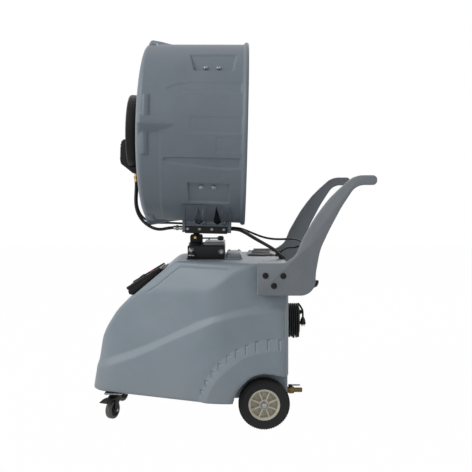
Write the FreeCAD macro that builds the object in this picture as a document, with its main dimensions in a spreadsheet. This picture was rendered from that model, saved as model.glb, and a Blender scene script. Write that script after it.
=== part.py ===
"""A mobile misting fan: a wheeled water tank that carries a drum fan with a spinning mist disc.

The front of the machine, where the mist leaves, is -X, its handles are at +X and +Z is up.
The wheels stand on z = 0 and the machine is symmetric about the plane y = 0 in its main shapes.
"""
import FreeCAD, Part
import math
import os
import re
import Sketcher
from FreeCAD import Placement, Rotation, Vector

SIZES = {
    # tank
    "tank_front": -555.0, "tank_tip": -567.58, "tank_rear": 239.0, "tank_half": 325.0,
    "tank_floor": 110.0, "deck": 656.0, "tank_wall": 6.0,
    "bow_half": 126.0, "bow_end": -53.0, "front_lean": 80.0, "side_lean": 37.0,
    "tip_radius": 600.0, "nose_radius": 60.0, "shoulder_radius": 250.0, "rear_radius": 40.0,
    "slope_low_x": -445.5, "slope_low_z": 462.0, "slope_top_x": -213.0,
    "brow_low_x": -517.0, "brow_low_z": 358.0, "brow_top_x": -449.0, "brow_top_z": 461.0,
    "hip_low_x": -407.0, "hip_low_half": 160.0, "hip_low_z": 456.0,
    "hip_mid_x": -100.0, "hip_mid_half": 271.0, "hip_mid_z": 576.0,
    "hip_rear_x": 118.0, "hip_rear_half": 288.0, "hip_front_x": -213.0, "hip_front_half": 192.0,
    # running gear
    "wheel_x": 143.7, "wheel_radius": 101.6, "wheel_width": 50.0, "wheel_centre": 275.0,
    "rim_radius": 62.0, "hub_radius": 21.0, "web": 14.0, "axle_radius": 8.0, "running_gap": 0.05,
    "axle_height": 101.6, "axle_end": 306.0, "arch_radius": 127.0, "arch_floor": 238.0, "fender_foot": 213.0,
    "axle_groove": 10.0, "clamp_y": 150.0, "clamp_width": 30.0, "clamp_steel": 4.0,
    "nut_radius": 15.0, "nut_height": 11.0,
    "caster_x": -470.0, "caster_y": 129.0, "caster_plate": 5.0, "caster_side": 74.0,
    "caster_turn": 65.0, "caster_wheel_radius": 37.5, "caster_wheel_width": 26.0,
    "caster_trail": 14.0, "fork_steel": 3.0, "fork_gap": 1.5, "fork_radius": 25.0,
    "fork_head": 90.0, "caster_axle_radius": 5.0, "brake_pivot": 14.0, "brake_height": 80.5,
    "brake_pin_radius": 3.0, "pedal_width": 40.0,
    # handles
    "handle_inner": 322.0, "handle_thick": 34.0, "handle_round": 11.0, "handle_front": 114.5,
    "handle_foot": 540.0, "handle_bolt_radius": 5.0,
    "bolt_head_radius": 9.0, "bolt_head": 6.0,
    # pedestal and neck
    "pedestal_front": -166.0, "pedestal_rear": -14.0, "pedestal_half": 117.0,
    "pedestal_height": 56.0, "pedestal_steel": 4.0, "pedestal_corner": 6.0,
    "cover_front": -99.0, "cover_half": 100.0, "cover_height": 11.5,
    "neck_x": -135.0, "neck_radius": 20.0, "bush_wall": 3.0, "bush_flange": 30.0,
    "flange_height": 4.0, "collar_radius": 36.0, "collar_top": 735.0, "post_foot": 664.0,
    "tilt_z": 745.5, "tongue_half": 10.0, "tongue_length": 52.0, "tongue_radius": 12.5,
    "ear_gap": 0.3, "ear_steel": 13.0, "tilt_bolt_radius": 5.5, "tilt_head_radius": 9.0, "head_tilt": 1.3,
    "lever_y": 95.0, "lever_length": 105.0, "lever_radius": 4.0, "lever_knob": 10.5,
    "plunger_y": -117.0, "plunger_x": -147.6, "plunger_z": 676.6, "plunger_radius": 7.0,
    "plunger_reach": 103.0, "ring_radius": 14.0, "ring_wire": 2.2,
    # saddle
    "saddle_front": -179.0, "saddle_rear": -4.0, "saddle_half": 75.0, "saddle_steel": 6.0,
    "saddle_floor": 761.0, "saddle_side": 30.0, "foot_front": -191.0, "foot_rear": 12.0,
    # fan drum, in the level frame about its own axis
    "fan_axis": 1175.5, "lip_radius": 376.5, "lip_front": 44.0, "drum_rear": 68.0,
    "barrel_rear": 370.0, "barrel_front": 362.0, "barrel_end": -340.0,
    "cheek_x": -353.0, "cheek_radius": 341.0, "drum_front": -363.0, "mouth_radius": 289.0,
    "drum_wall": 8.0, "lug_half": 26.0, "lug_top": 396.0, "lug_length": 90.0,
    "guard_bar": 4.0, "guard_depth": 6.0, "guard_hub": 60.0, "guard_rings": 5.0,
    "motor_radius": 72.0, "motor_front": -115.0, "motor_length": 150.0, "shaft_radius": 9.0,
    "strap_width": 32.0, "strap_thick": 6.0, "strap_x": -70.0,
    "fan_radius": 345.0, "fan_x": -185.0, "fan_hub": 62.0, "fan_hub_length": 60.0,
    "blade_chord": 120.0, "blade_thick": 5.0, "blade_pitch": 32.0, "blades": 6.0,
    # mist head, in the same frame
    "cup_radius": 156.0, "cup_front": -441.0, "cup_wall": 5.0, "mist_motor_radius": 34.0,
    "mist_motor_length": 34.0, "disc_radius": 118.0, "disc_x": -434.0, "disc_thick": 3.0,
    "mist_shaft": 5.0, "block_front": -461.0, "block_half": 55.0, "block_top": 1146.0,
    "block_bottom": 1050.0, "elbow_x": -392.1, "elbow_foot": 969.2,
    "elbow_y": -18.0, "cable_y": 30.0, "coupling_z": 779.8,
    # deck fittings
    "front_bolt_z": 693.0, "rear_bolt_z": 687.0, "saddle_bolt_length": 24.0, "foot_height": 50.0,
    "panel_length": 150.0, "knob_place": 60.0, "switch_place": 114.0,
    "lid_front": 84.0, "lid_rear": 200.0, "lid_near": 44.0, "lid_far": 194.5, "lid_thick": 7.0,
    "mouth_front": 98.0, "mouth_rear": 186.0, "mouth_near": 58.0, "mouth_far": 178.0,
    "hinge_y": 202.0, "hinge_radius": 5.0, "pin_radius": 2.5, "hinge_x0": 102.0,
    "hinge_x1": 182.0, "hinge_ear": 12.0,
    "hatch_front": -8.0, "hatch_rear": 58.0, "hatch_half": 108.0, "hatch_height": 22.0,
    # control box on the front slope, measured along the slope from its low end
    "box_low_x": -395.6, "box_low_z": 503.6, "box_length": 175.0, "box_half": 105.0,
    "box_low_rise": 40.0, "box_high_rise": 13.0, "panel_thick": 2.0,
    "knob_radius": 15.0, "knob_height": 13.0, "knob_stem": 3.0, "knob_spread": 45.0,
    "rocker_length": 26.0, "rocker_width": 18.0, "rocker_rise": 5.0,
    # rear fittings
    "hook_z": 532.0, "hook_reach": 387.0, "hook_radius": 9.0, 
    "peg_reach": 320.0, "peg_radius": 10.0, "peg_y": -20.0,
    "spigot_z": 130.0, "spigot_y": -180.0, "spigot_radius": 10.0, "spigot_length": 34.0,
    "spigot_bore": 7.0, "valve_radius": 15.0, "valve_length": 30.0,
    # pump inside the tank
    "pump_x": -60.0, "pump_radius": 38.0, "pump_height": 96.0, "pump_inlet": 10.0,
    # cords
    "hose_radius": 6.5, "cable_radius": 4.5, "bundle_radius": 7.0, "gland_x": 228.0,
    "gland_radius": 10.0, "gland_height": 24.0, "gland_lean": 40.0,
    "gland_y": -95.0, "loop_gland_x": 212.0, "loop_gland_y": 50.0, "gland_step": 28.0,
    "hank_front": 243.0, "hank_rear": 303.0,
    "hank_half": 52.0, "hank_top": 462.0, "hank_bottom": 315.0, "hank_ring": 32.0,
    "peg_height": 419.5, "plug_z": 385.0, "plug_y": -44.0, "plug_radius": 12.0, "plug_length": 40.0,
}

doc = FreeCAD.newDocument("misting_fan")
sheet = doc.addObject("Spreadsheet::Sheet", "sizes")
for row, (alias, number) in enumerate(SIZES.items(), 1):
    sheet.set(f"A{row}", alias)
    sheet.set(f"B{row}", str(number))
    sheet.setAlias(f"B{row}", alias)
doc.recompute()


def value(alias):
    """A driving dimension, as the sheet holds it."""
    return float(sheet.get(alias))


def formula(text):
    """An expression in which each bare name is a cell of the sheet."""
    return re.sub(
        r"[a-z][a-z0-9_]*",
        lambda found: "sizes." + found.group() if found.group() in SIZES else found.group(),
        str(text),
    )


def bind(thing, **expressions):
    """Bind properties of a feature to expressions; x, y and z stand for its place."""
    for name, text in expressions.items():
        path = f"Placement.Base.{name}" if name in ("x", "y", "z") else name
        thing.setExpression(path, formula(text))
    return thing


pieces = []


def keep(made, label):
    """Name a finished sub-part; it is written to parts/LABEL.step."""
    made.Label = label
    pieces.append(made)
    return made


# ---------------------------------------------------------------- Part Design helpers
def new_body(label):
    return keep(doc.addObject("PartDesign::Body", label), label)


def origin_of(made, role):
    return next(f for f in made.Origin.OriginFeatures if f.Role == role)


def sketch(made, role, shift="0"):
    """A sketch on one of the body's own origin planes, moved along the plane's normal."""
    drawn = made.newObject("Sketcher::SketchObject", made.Name + "_sketch")
    drawn.AttachmentSupport = [(origin_of(made, role), "")]
    drawn.MapMode = "FlatFace"
    drawn.setExpression("AttachmentOffset.Base.z", formula(shift))
    return drawn


def pin_point(drawn, geometry, point, spot):
    """Hold a point of the sketch at a pair of expressions."""
    for kind, text in zip(("DistanceX", "DistanceY"), spot):
        at = drawn.addConstraint(Sketcher.Constraint(kind, -1, 1, geometry, point, 1.0))
        drawn.setExpression(f"Constraints[{at}]", formula(text))


def outline(drawn, corners):
    """A closed outline with straight sides; each corner is a pair of expressions."""
    first, count = drawn.GeometryCount, len(corners)
    turn = 2 * math.pi / count
    spots = [Vector(10 * math.cos(turn * i), 10 * math.sin(turn * i), 0) for i in range(count)]
    for i in range(count):
        drawn.addGeometry(Part.LineSegment(spots[i], spots[(i + 1) % count]), False)
    for i, corner in enumerate(corners):
        joined = Sketcher.Constraint("Coincident", first + i, 2, first + (i + 1) % count, 1)
        drawn.addConstraint(joined)
        pin_point(drawn, first + i, 1, corner)
    return drawn


def rectangle(drawn, x0, x1, y0, y1):
    return outline(drawn, [(x0, y0), (x1, y0), (x1, y1), (x0, y1)])


def circle(drawn, radius, x="0", y="0"):
    at = drawn.addGeometry(Part.Circle(Vector(1, 1, 0), Vector(0, 0, 1), 5), False)
    pin_point(drawn, at, 3, (x, y))
    sized = drawn.addConstraint(Sketcher.Constraint("Radius", at, 5.0))
    drawn.setExpression(f"Constraints[{sized}]", formula(radius))
    return drawn


def extrude(made, kind, drawn, length, midplane=False, reverse=False):
    """A Pad or a Pocket of a sketch."""
    solid = made.newObject("PartDesign::" + kind, f"{made.Name}_{kind}")
    solid.Profile = drawn
    solid.Midplane = midplane
    solid.Reversed = reverse
    bind(solid, Length=length)
    return solid


def turned(made, kind, drawn, axis="H_Axis"):
    """A Revolution or a Groove of a sketch about one of its axes."""
    solid = made.newObject("PartDesign::" + kind, f"{made.Name}_{kind}")
    solid.Profile = drawn
    solid.ReferenceAxis = (drawn, [axis])
    solid.Angle = 360
    return solid


def around(made, feature, role, count):
    """Repeat a feature round one of the body's origin axes."""
    ring = made.newObject("PartDesign::PolarPattern", made.Name + "_ring")
    ring.Originals = [feature]
    ring.Axis = (origin_of(made, role), [""])
    ring.Angle = 360
    ring.Occurrences = count
    made.Tip = ring
    return ring


def round_edges(made, radius, wanted):
    """Fillet the edges of a body that a test picks by their middle point and direction."""
    doc.recompute()
    solid = made.Tip
    names = []
    for i, edge in enumerate(solid.Shape.Edges, 1):
        run = edge.lastVertex().Point - edge.firstVertex().Point
        if wanted(edge.valueAt((edge.FirstParameter + edge.LastParameter) / 2), run):
            names.append(f"Edge{i}")
    rounded = made.newObject("PartDesign::Fillet", made.Name + "_round")
    rounded.Base = (solid, names)
    return bind(rounded, Radius=radius)


def upright(middle, run):
    """True for an edge that runs along Z."""
    return abs(run.x) < 1e-6 and abs(run.y) < 1e-6 and abs(run.z) > 1


# ---------------------------------------------------------------- Part helpers
def box(x, y, z, length, width, height, name="block"):
    made = doc.addObject("Part::Box", name)
    return bind(made, x=x, y=y, z=z, Length=length, Width=width, Height=height)


TURN = {"X": Rotation(Vector(0, 1, 0), 90), "Y": Rotation(Vector(1, 0, 0), -90), "Z": Rotation()}


def rod(axis, radius, length, x="0", y="0", z="0", name="rod"):
    """A cylinder that grows along +X, +Y or +Z from its foot."""
    made = doc.addObject("Part::Cylinder", name)
    made.Placement = Placement(Vector(), TURN[axis])
    return bind(made, x=x, y=y, z=z, Radius=radius, Height=length)


def fuse(name, *shapes):
    made = doc.addObject("Part::MultiFuse", name)
    made.Shapes = list(shapes)
    return made


def cut(name, base, *tools):
    made = doc.addObject("Part::Cut", name)
    made.Base = base
    made.Tool = tools[0] if len(tools) == 1 else fuse(name + "_tools", *tools)
    return made


def group(name, shapes):
    """Separate identical solids that share one node."""
    made = doc.addObject("Part::Compound", name)
    made.Links = list(shapes)
    return made


def shape_feature(label, shape, place=Placement()):
    made = doc.addObject("Part::Feature", label)
    made.Shape = shape
    made.Placement = place
    return keep(made, label)


def tilted():
    """The head's place: its level frame turned about the tilt bolt."""
    pivot = Vector(value("neck_x"), 0, value("tilt_z"))
    return Placement(Vector(), Rotation(Vector(0, 1, 0), value("head_tilt")), pivot)


def on_fan_axis():
    return tilted().multiply(Placement(Vector(0, 0, value("fan_axis")), Rotation()))


def rounded_wire(points, radii, closed=True):
    """Straight runs joined by tangent arcs of the given radii."""
    count = len(points)
    tips = []
    for i in range(count):
        if not closed and i in (0, count - 1):
            tips.append((points[i], None, points[i]))
            continue
        here = points[i]
        back = (points[i - 1] - here).normalize()
        ahead = (points[(i + 1) % count] - here).normalize()
        half = back.getAngle(ahead) / 2
        reach = radii[i] / math.tan(half)
        inward = (back + ahead).normalize()
        middle = here + inward * (radii[i] / math.sin(half) - radii[i])
        tips.append((here + back * reach, middle, here + ahead * reach))
    edges = []
    for i in range(count if closed else count - 1):
        start, end = tips[i][2], tips[(i + 1) % count][0]
        if tips[i][1] is not None:
            edges.append(Part.Arc(*tips[i]).toShape())
        if (end - start).Length > 1e-4:
            edges.append(Part.LineSegment(start, end).toShape())
    return Part.Wire(edges)


def tube(label, points, radius):
    """A free cord's tube: straight runs joined by the largest arcs that they allow."""
    spots = [Vector(*p) for p in points]
    radii = [0.0] * len(spots)
    for i in range(1, len(spots) - 1):
        back, ahead = spots[i - 1] - spots[i], spots[i + 1] - spots[i]
        turn = math.pi - back.getAngle(ahead)
        radii[i] = 0.45 * min(back.Length, ahead.Length) / math.tan(turn / 2)
    path = rounded_wire(spots, radii, closed=False)
    ring = Part.Wire(Part.Circle(spots[0], spots[1] - spots[0], radius).toShape())
    made = path.makePipeShell([ring], True, False)
    drift = made.Volume / (math.pi * radius ** 2 * path.Length)
    tightest = min(radii[1:-1]) / (2 * radius)
    print(f"{label}: length {path.Length:.0f}, volume ratio {drift:.4f}, "
          f"radii {[round(r) for r in radii[1:-1]]}, tightest {tightest:.1f} diameters")
    return shape_feature(label, made)


# ---------------------------------------------------------------- tank
def plan_wire(front, side, rear, z):
    """The tank's outline from above at one level, drawn in from the largest one."""
    nose_x = value("tank_front") + front
    flank = value("tank_half") - side
    rear_x = value("tank_rear") - rear
    start = Vector(value("tank_front"), value("bow_half"), 0)
    run = (Vector(value("bow_end"), value("tank_half"), 0) - start).normalize()
    start = start + Vector(run.y, -run.x, 0) * side
    bow = start + run * ((nose_x - start.x) / run.x)
    shoulder = start + run * ((flank - start.y) / run.y)
    half = [bow, shoulder, Vector(rear_x, flank, 0)]
    radii = [value("nose_radius"), value("shoulder_radius"), value("rear_radius")]
    points = [Vector(value("tank_tip") + front, 0, 0)] + half
    points += [Vector(p.x, -p.y, 0) for p in reversed(half)]
    wire = rounded_wire(points, [value("tip_radius")] + radii + radii[::-1])
    wire.translate(Vector(0, 0, z))
    return wire


def above_plane(a, b, c, inset):
    """A slab of space above the plane through three points, lowered by an inset."""
    normal = (b - a).cross(c - a).normalize()
    if normal.z < 0:
        normal = -normal
    span = 3000.0
    slab = Part.makeBox(span, span, span, Vector(-span / 2, -span / 2, 0))
    slab.Placement = Placement(a - normal * inset, Rotation(Vector(0, 0, 1), normal))
    return slab


def tank_solid(inset):
    """The tank's outside, or the hollow a wall's thickness inside it."""
    low = value("tank_floor") + inset
    top = value("deck") - inset
    bottom = plan_wire(inset, inset, inset, low)
    upper = plan_wire(value("front_lean") + inset, value("side_lean") + inset, inset, top)
    solid = Part.makeLoft([bottom, upper], True, True)
    deck = value("deck")
    wide = 500.0
    slope = [(value("slope_low_x"), value("slope_low_z")), (value("slope_top_x"), deck)]
    brow = [(value("brow_low_x"), value("brow_low_z")), (value("brow_top_x"), value("brow_top_z"))]
    for (x0, z0), (x1, z1) in (slope, brow):
        plane = Vector(x0, -wide, z0), Vector(x0, wide, z0), Vector(x1, 0, z1)
        solid = solid.cut(above_plane(*plane, inset))
    for hand in (-1, 1):
        low_point = Vector(value("hip_low_x"), hand * value("hip_low_half"), value("hip_low_z"))
        mid_point = Vector(value("hip_mid_x"), hand * value("hip_mid_half"), value("hip_mid_z"))
        rear_point = Vector(value("hip_rear_x"), hand * value("hip_rear_half"), deck)
        front_point = Vector(value("hip_front_x"), hand * value("hip_front_half"), deck)
        solid = solid.cut(above_plane(low_point, mid_point, front_point, inset))
        solid = solid.cut(above_plane(mid_point, rear_point, front_point, inset))
    return solid


def arch_cutter(grow, hand):
    """The room round a wheel: a half-round arch that is open to the rear below the fender."""
    floor = value("arch_floor") - grow
    reach = value("tank_half") + 20 - floor
    foot = Vector(value("wheel_x"), hand * floor, value("axle_height"))
    arch = Part.makeCylinder(value("arch_radius") + grow, reach, foot, Vector(0, hand, 0))
    behind = Part.makeBox(200, reach, value("fender_foot") + grow, Vector(value("wheel_x"), 0, 0))
    behind.translate(Vector(0, floor if hand > 0 else -floor - reach, 0))
    return arch.fuse(behind)


def plain_box(x0, x1, y0, y1, z0, z1):
    return Part.makeBox(x1 - x0, y1 - y0, z1 - z0, Vector(x0, y0, z0))


wall = value("tank_wall")
outside = tank_solid(0)
hollow = tank_solid(wall)
for hand in (-1, 1):
    outside = outside.cut(arch_cutter(0, hand))
    hollow = hollow.cut(arch_cutter(wall, hand))
groove = value("axle_groove")
groove_x, floor_z, deck_z = value("wheel_x"), value("tank_floor"), value("deck")
reach_y = value("arch_floor") + 1
outside = outside.cut(plain_box(groove_x - groove, groove_x + groove, -reach_y, reach_y,
                                floor_z - 1, floor_z + groove / 2))
hollow = hollow.cut(plain_box(groove_x - groove - wall, groove_x + groove + wall, -reach_y, reach_y,
                              floor_z, floor_z + groove / 2 + wall))
mouth = plain_box(value("mouth_front"), value("mouth_rear"), value("mouth_near"),
                  value("mouth_far"), deck_z - 2 * wall, deck_z + 1)
shell = outside.cut(hollow).cut(mouth)
ear_r, ear_w, ear_gap = value("hinge_radius"), value("hinge_ear"), value("ear_gap")
hinge_z = deck_z + value("lid_thick")
for start in (value("hinge_x0") - ear_gap - ear_w, value("hinge_x1") + ear_gap):
    ear = plain_box(start, start + ear_w, value("hinge_y") - ear_r, value("hinge_y") + ear_r,
                    deck_z - 1, hinge_z + ear_r)
    bore = Part.makeCylinder(value("pin_radius"), ear_w, Vector(start, value("hinge_y"), hinge_z),
                             Vector(1, 0, 0))
    shell = shell.fuse(ear).cut(bore)
drain_foot = Vector(value("tank_rear") - 2 * wall, value("spigot_y"), value("spigot_z"))
shell = shell.cut(Part.makeCylinder(value("spigot_bore"), 3 * wall, drain_foot, Vector(1, 0, 0)))
shape_feature("tank_shell", shell.removeSplitter())

lid = new_body("filler_lid")
lid_plan = sketch(lid, "XY_Plane", "deck + ear_gap")
rectangle(lid_plan, "lid_front", "lid_rear", "lid_near", "lid_far")
extrude(lid, "Pad", lid_plan, "lid_thick")
round_edges(lid, "3 * hinge_radius", upright)
knuckle = sketch(lid, "YZ_Plane", "hinge_x0")
circle(knuckle, "hinge_radius", "hinge_y", "deck + lid_thick")
extrude(lid, "Pad", knuckle, "hinge_x1 - hinge_x0")
leaf = sketch(lid, "YZ_Plane", "hinge_x0")
rectangle(leaf, "lid_far - 4", "hinge_y", "deck + lid_thick - 4", "deck + lid_thick")
extrude(lid, "Pad", leaf, "hinge_x1 - hinge_x0")
eye = sketch(lid, "YZ_Plane", "hinge_x0")
circle(eye, "pin_radius + running_gap", "hinge_y", "deck + lid_thick")
extrude(lid, "Pocket", eye, "hinge_x1 - hinge_x0", reverse=True)

keep(rod("X", "pin_radius", "hinge_x1 - hinge_x0 + 2 * hinge_ear", "hinge_x0 - hinge_ear",
         "hinge_y", "deck + lid_thick", "lid_pin"), "lid_pin")
hatch = new_body("service_hatch")
hatch_plan = sketch(hatch, "XY_Plane", "deck")
rectangle(hatch_plan, "hatch_front", "hatch_rear", "-hatch_half", "hatch_half")
extrude(hatch, "Pad", hatch_plan, "hatch_height")
round_edges(hatch, "hinge_radius", lambda middle, run: middle.z > deck_z + 1)

# ---------------------------------------------------------------- rear wheels and axle
for side, hand in (("near", "-"), ("far", "")):
    rim = new_body("wheel_rim_" + side)
    profile = sketch(rim, "YZ_Plane")
    outline(profile, [
        ("-wheel_width / 2", "axle_radius + running_gap"), ("-wheel_width / 2", "hub_radius"),
        ("-web / 2", "hub_radius"), ("-web / 2", "rim_radius - 6"),
        ("-wheel_width / 2 + 4", "rim_radius - 6"), ("-wheel_width / 2 + 4", "rim_radius"),
        ("wheel_width / 2 - 4", "rim_radius"), ("wheel_width / 2 - 4", "rim_radius - 6"),
        ("web / 2", "rim_radius - 6"), ("web / 2", "hub_radius"),
        ("wheel_width / 2", "hub_radius"), ("wheel_width / 2", "axle_radius + running_gap"),
    ])
    turned(rim, "Revolution", profile)
    window = sketch(rim, "XZ_Plane")
    outline(window, [
        ("hub_radius + 5", "-5"), ("hub_radius + 5", "5"),
        ("rim_radius - 10", "15"), ("rim_radius - 10", "-15"),
    ])
    around(rim, extrude(rim, "Pocket", window, "2 * web", midplane=True), "Y_Axis", 8)
    bind(rim, x="wheel_x", y=hand + "wheel_centre", z="axle_height")

    tyre = new_body("tyre_" + side)
    band = sketch(tyre, "YZ_Plane")
    outline(band, [
        ("-wheel_width / 2 + 4", "rim_radius"), ("-wheel_width / 2", "rim_radius + 8"),
        ("-wheel_width / 2", "wheel_radius - 10"), ("-wheel_width / 2 + 10", "wheel_radius"),
        ("wheel_width / 2 - 10", "wheel_radius"), ("wheel_width / 2", "wheel_radius - 10"),
        ("wheel_width / 2", "rim_radius + 8"), ("wheel_width / 2 - 4", "rim_radius"),
    ])
    turned(tyre, "Revolution", band)
    bind(tyre, x="wheel_x", y=hand + "wheel_centre", z="axle_height")

keep(rod("Y", "axle_radius", "2 * axle_end", "wheel_x", "-axle_end", "axle_height",
         "rear_axle"), "rear_axle")


def axle_clamp(hand):
    """A bent strap that holds the axle up in its groove; it is open at the top."""
    y0 = f"{hand}clamp_y - clamp_width / 2"
    lower = "axle_height - axle_radius - clamp_steel"
    block = box("wheel_x - 30", y0, lower, "60", "clamp_width",
                "tank_floor - (axle_height - axle_radius - clamp_steel)")
    bed = rod("Y", "axle_radius + running_gap", "clamp_width + 2", "wheel_x", y0 + " - 1", "axle_height")
    slot = box("wheel_x - axle_radius", y0 + " - 1", "axle_height", "2 * axle_radius",
               "clamp_width + 2", "tank_floor")
    left = box("wheel_x - 40", y0 + " - 1", lower + " - 1", "40 - axle_radius - clamp_steel",
               "clamp_width + 2", "tank_floor - clamp_steel - (" + lower + " - 1)")
    right = box("wheel_x + axle_radius + clamp_steel", y0 + " - 1", lower + " - 1", "40",
                "clamp_width + 2", "tank_floor - clamp_steel - (" + lower + " - 1)")
    return cut("axle_clamp", block, bed, slot, left, right)


keep(group("axle_clamps", [axle_clamp("-"), axle_clamp("")]), "axle_clamps")


def axle_nut(y):
    """A washer and a domed nut on the end of the axle."""
    made = doc.addObject("Part::Feature", "axle_nut")
    seat = value("wheel_centre") + value("wheel_width") / 2 + value("ear_gap")
    foot, out = Vector(value("wheel_x"), y * seat, value("axle_height")), Vector(0, y, 0)
    washer = Part.makeCylinder(value("nut_radius") + 3, 2.0, foot, out)
    flats = [Vector(value("nut_radius") * math.cos(math.radians(60 * i)), 0,
                    value("nut_radius") * math.sin(math.radians(60 * i))) for i in range(7)]
    hexagon = Part.Face(Part.makePolygon([foot + out * 2.0 + flat for flat in flats]))
    nut = washer.fuse(hexagon.extrude(out * value("nut_height")))
    bore = Part.makeCylinder(value("axle_radius") + value("running_gap"), 40, foot - out, out)
    made.Shape = nut.cut(bore)
    return made


keep(group("axle_nuts", [axle_nut(-1), axle_nut(1)]), "axle_nuts")

# ---------------------------------------------------------------- casters
PLATE_FOOT = "tank_floor - caster_plate"


def caster_plate(hand):
    return box("caster_x - caster_side / 2", f"{hand}caster_y - caster_side / 2", PLATE_FOOT,
               "caster_side", "caster_side", "caster_plate")


keep(group("caster_plates", [caster_plate("-"), caster_plate("")]), "caster_plates")


def caster_place(hand):
    """A caster's own frame: z on the floor, x along its wheel towards the brake."""
    spot = Vector(value("caster_x"), hand * value("caster_y"), 0)
    return Placement(spot, Rotation(Vector(0, 0, 1), 180 + value("caster_turn")))


for side, hand in (("near", -1), ("far", 1)):
    fork = new_body("caster_fork_" + side)
    crown = sketch(fork, "XY_Plane", "fork_head - fork_steel")
    circle(crown, "fork_radius")
    extrude(fork, "Pad", crown, "fork_steel")
    race = sketch(fork, "XY_Plane", "fork_head")
    circle(race, "fork_radius - 3")
    extrude(fork, "Pad", race, "tank_floor - caster_plate - ear_gap - fork_head")
    for cheek in ("-", ""):
        leg = sketch(fork, "XZ_Plane", f"{cheek}(caster_wheel_width / 2 + fork_gap + fork_steel / 2)")
        outline(leg, [
            ("-fork_radius + 6", "fork_head"), ("fork_radius - 6", "fork_head"),
            ("caster_trail + 9", "caster_wheel_radius - 8"),
            ("caster_trail - 9", "caster_wheel_radius - 8"),
        ])
        extrude(fork, "Pad", leg, "fork_steel", midplane=True)
    hole = sketch(fork, "XZ_Plane")
    circle(hole, "caster_axle_radius", "caster_trail", "caster_wheel_radius")
    extrude(fork, "Pocket", hole, "3 * caster_wheel_width", midplane=True)
    fork.Placement = caster_place(hand)

    roller = new_body("caster_wheel_" + side)
    section = sketch(roller, "YZ_Plane")
    outline(section, [
        ("-caster_wheel_width / 2", "caster_axle_radius + running_gap"),
        ("-caster_wheel_width / 2", "caster_wheel_radius - 5"),
        ("-caster_wheel_width / 2 + 5", "caster_wheel_radius"),
        ("caster_wheel_width / 2 - 5", "caster_wheel_radius"),
        ("caster_wheel_width / 2", "caster_wheel_radius - 5"),
        ("caster_wheel_width / 2", "caster_axle_radius + running_gap"),
    ])
    turned(roller, "Revolution", section)
    hub_spot = Vector(value("caster_trail"), 0, value("caster_wheel_radius"))
    roller.Placement = caster_place(hand).multiply(Placement(hub_spot, Rotation()))

    pin = rod("Y", "caster_axle_radius", "caster_wheel_width + 2 * fork_gap + 2 * fork_steel + 4")
    half_pin = value("caster_wheel_width") / 2 + value("fork_gap") + value("fork_steel") + 2
    pin_spot = hub_spot - Vector(0, half_pin, 0)
    bind(pin, x="0", y="0", z="0")
    axle = keep(fuse("caster_axle_" + side, pin, rod("Y", "caster_axle_radius + 2", "2")),
                "caster_axle_" + side)
    axle.Placement = caster_place(hand).multiply(Placement(pin_spot, Rotation()))

    brake = new_body("caster_brake_" + side)
    lever = sketch(brake, "XZ_Plane")
    outline(lever, [
        ("brake_pivot", "brake_height - 2.5"), ("brake_pivot + 14", "brake_height - 1.5"),
        ("brake_pivot + 34", "brake_height + 3"), ("brake_pivot + 66", "brake_height - 3"),
        ("brake_pivot + 66", "brake_height + 2"), ("brake_pivot + 34", "brake_height + 8"),
        ("brake_pivot + 14", "brake_height + 3"), ("brake_pivot", "brake_height + 2.5"),
    ])
    extrude(brake, "Pad", lever, "caster_wheel_width", midplane=True)
    pivot = sketch(brake, "XZ_Plane")
    circle(pivot, "brake_pin_radius", "brake_pivot", "brake_height")
    extrude(brake, "Pad", pivot, "caster_wheel_width + 2 * fork_gap - 2 * ear_gap", midplane=True)
    tread = sketch(brake, "XZ_Plane")
    outline(tread, [
        ("brake_pivot + 34", "brake_height + 3"), ("brake_pivot + 66", "brake_height - 3"),
        ("brake_pivot + 66", "brake_height + 2"), ("brake_pivot + 34", "brake_height + 8"),
    ])
    extrude(brake, "Pad", tread, "pedal_width", midplane=True)
    brake.Placement = caster_place(hand)

# ---------------------------------------------------------------- handles
HANDLE_LINE = [  # the arm seen from the side, from the bracket's front foot round to its front top
    (114.5, 540), (335.5, 540), (336, 625), (352, 716), (387, 792), (430, 874), (486, 960.5),
    (565.5, 960.5), (565.5, 997.5), (482, 997.5), (388, 913), (333, 836), (284, 750),
    (262, 692), (222, 664), (114.5, 664),
]
HANDLE_RADII = [4, 57, 200, 200, 300, 300, 60, 17, 17, 80, 400, 300, 200, 60, 40, 4]


def handle(hand):
    """A moulded arm: a flat bracket that bolts to the tank and a swept arm that ends in a grip."""
    points = [Vector(x, 0, z) for x, z in HANDLE_LINE]
    face = Part.Face(rounded_wire(points, HANDLE_RADII))
    thick = value("handle_thick")
    face.translate(Vector(0, hand * value("handle_inner"), 0))
    arm = face.extrude(Vector(0, hand * thick, 0))
    skin = value("handle_inner") + thick
    outer = [e for e in arm.Edges if all(abs(abs(v.Y) - skin) < 1e-4 for v in e.Vertexes)]
    return arm.makeFillet(value("handle_round"), outer)


def bolt_spots():
    front, foot = value("handle_front"), value("handle_foot")
    return [(front + 30.5, foot + 77), (front + 98, foot + 76), (front + 63, foot + 38)]


def packer(hand):
    """The block behind the bracket that brings it square to the leaning tank wall."""
    front = value("handle_front") + 4
    rear = value("tank_rear") - value("rear_radius")
    span = value("deck") - value("tank_floor")
    lean = value("side_lean") / span
    foot, top = value("handle_foot") + 4, value("handle_foot") + 110
    gap = value("ear_gap")
    low_y = value("tank_half") - lean * (foot - value("tank_floor")) + gap
    top_y = value("tank_half") - lean * (top - value("tank_floor")) + gap
    face_y = value("handle_inner")
    corners = [Vector(front, low_y, foot), Vector(front, top_y, top), Vector(front, face_y, top),
               Vector(front, face_y, foot), Vector(front, low_y, foot)]
    face = Part.Face(Part.makePolygon(corners))
    block = face.extrude(Vector(rear - front, 0, 0))
    return block if hand > 0 else block.mirror(Vector(), Vector(0, 1, 0))


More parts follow.
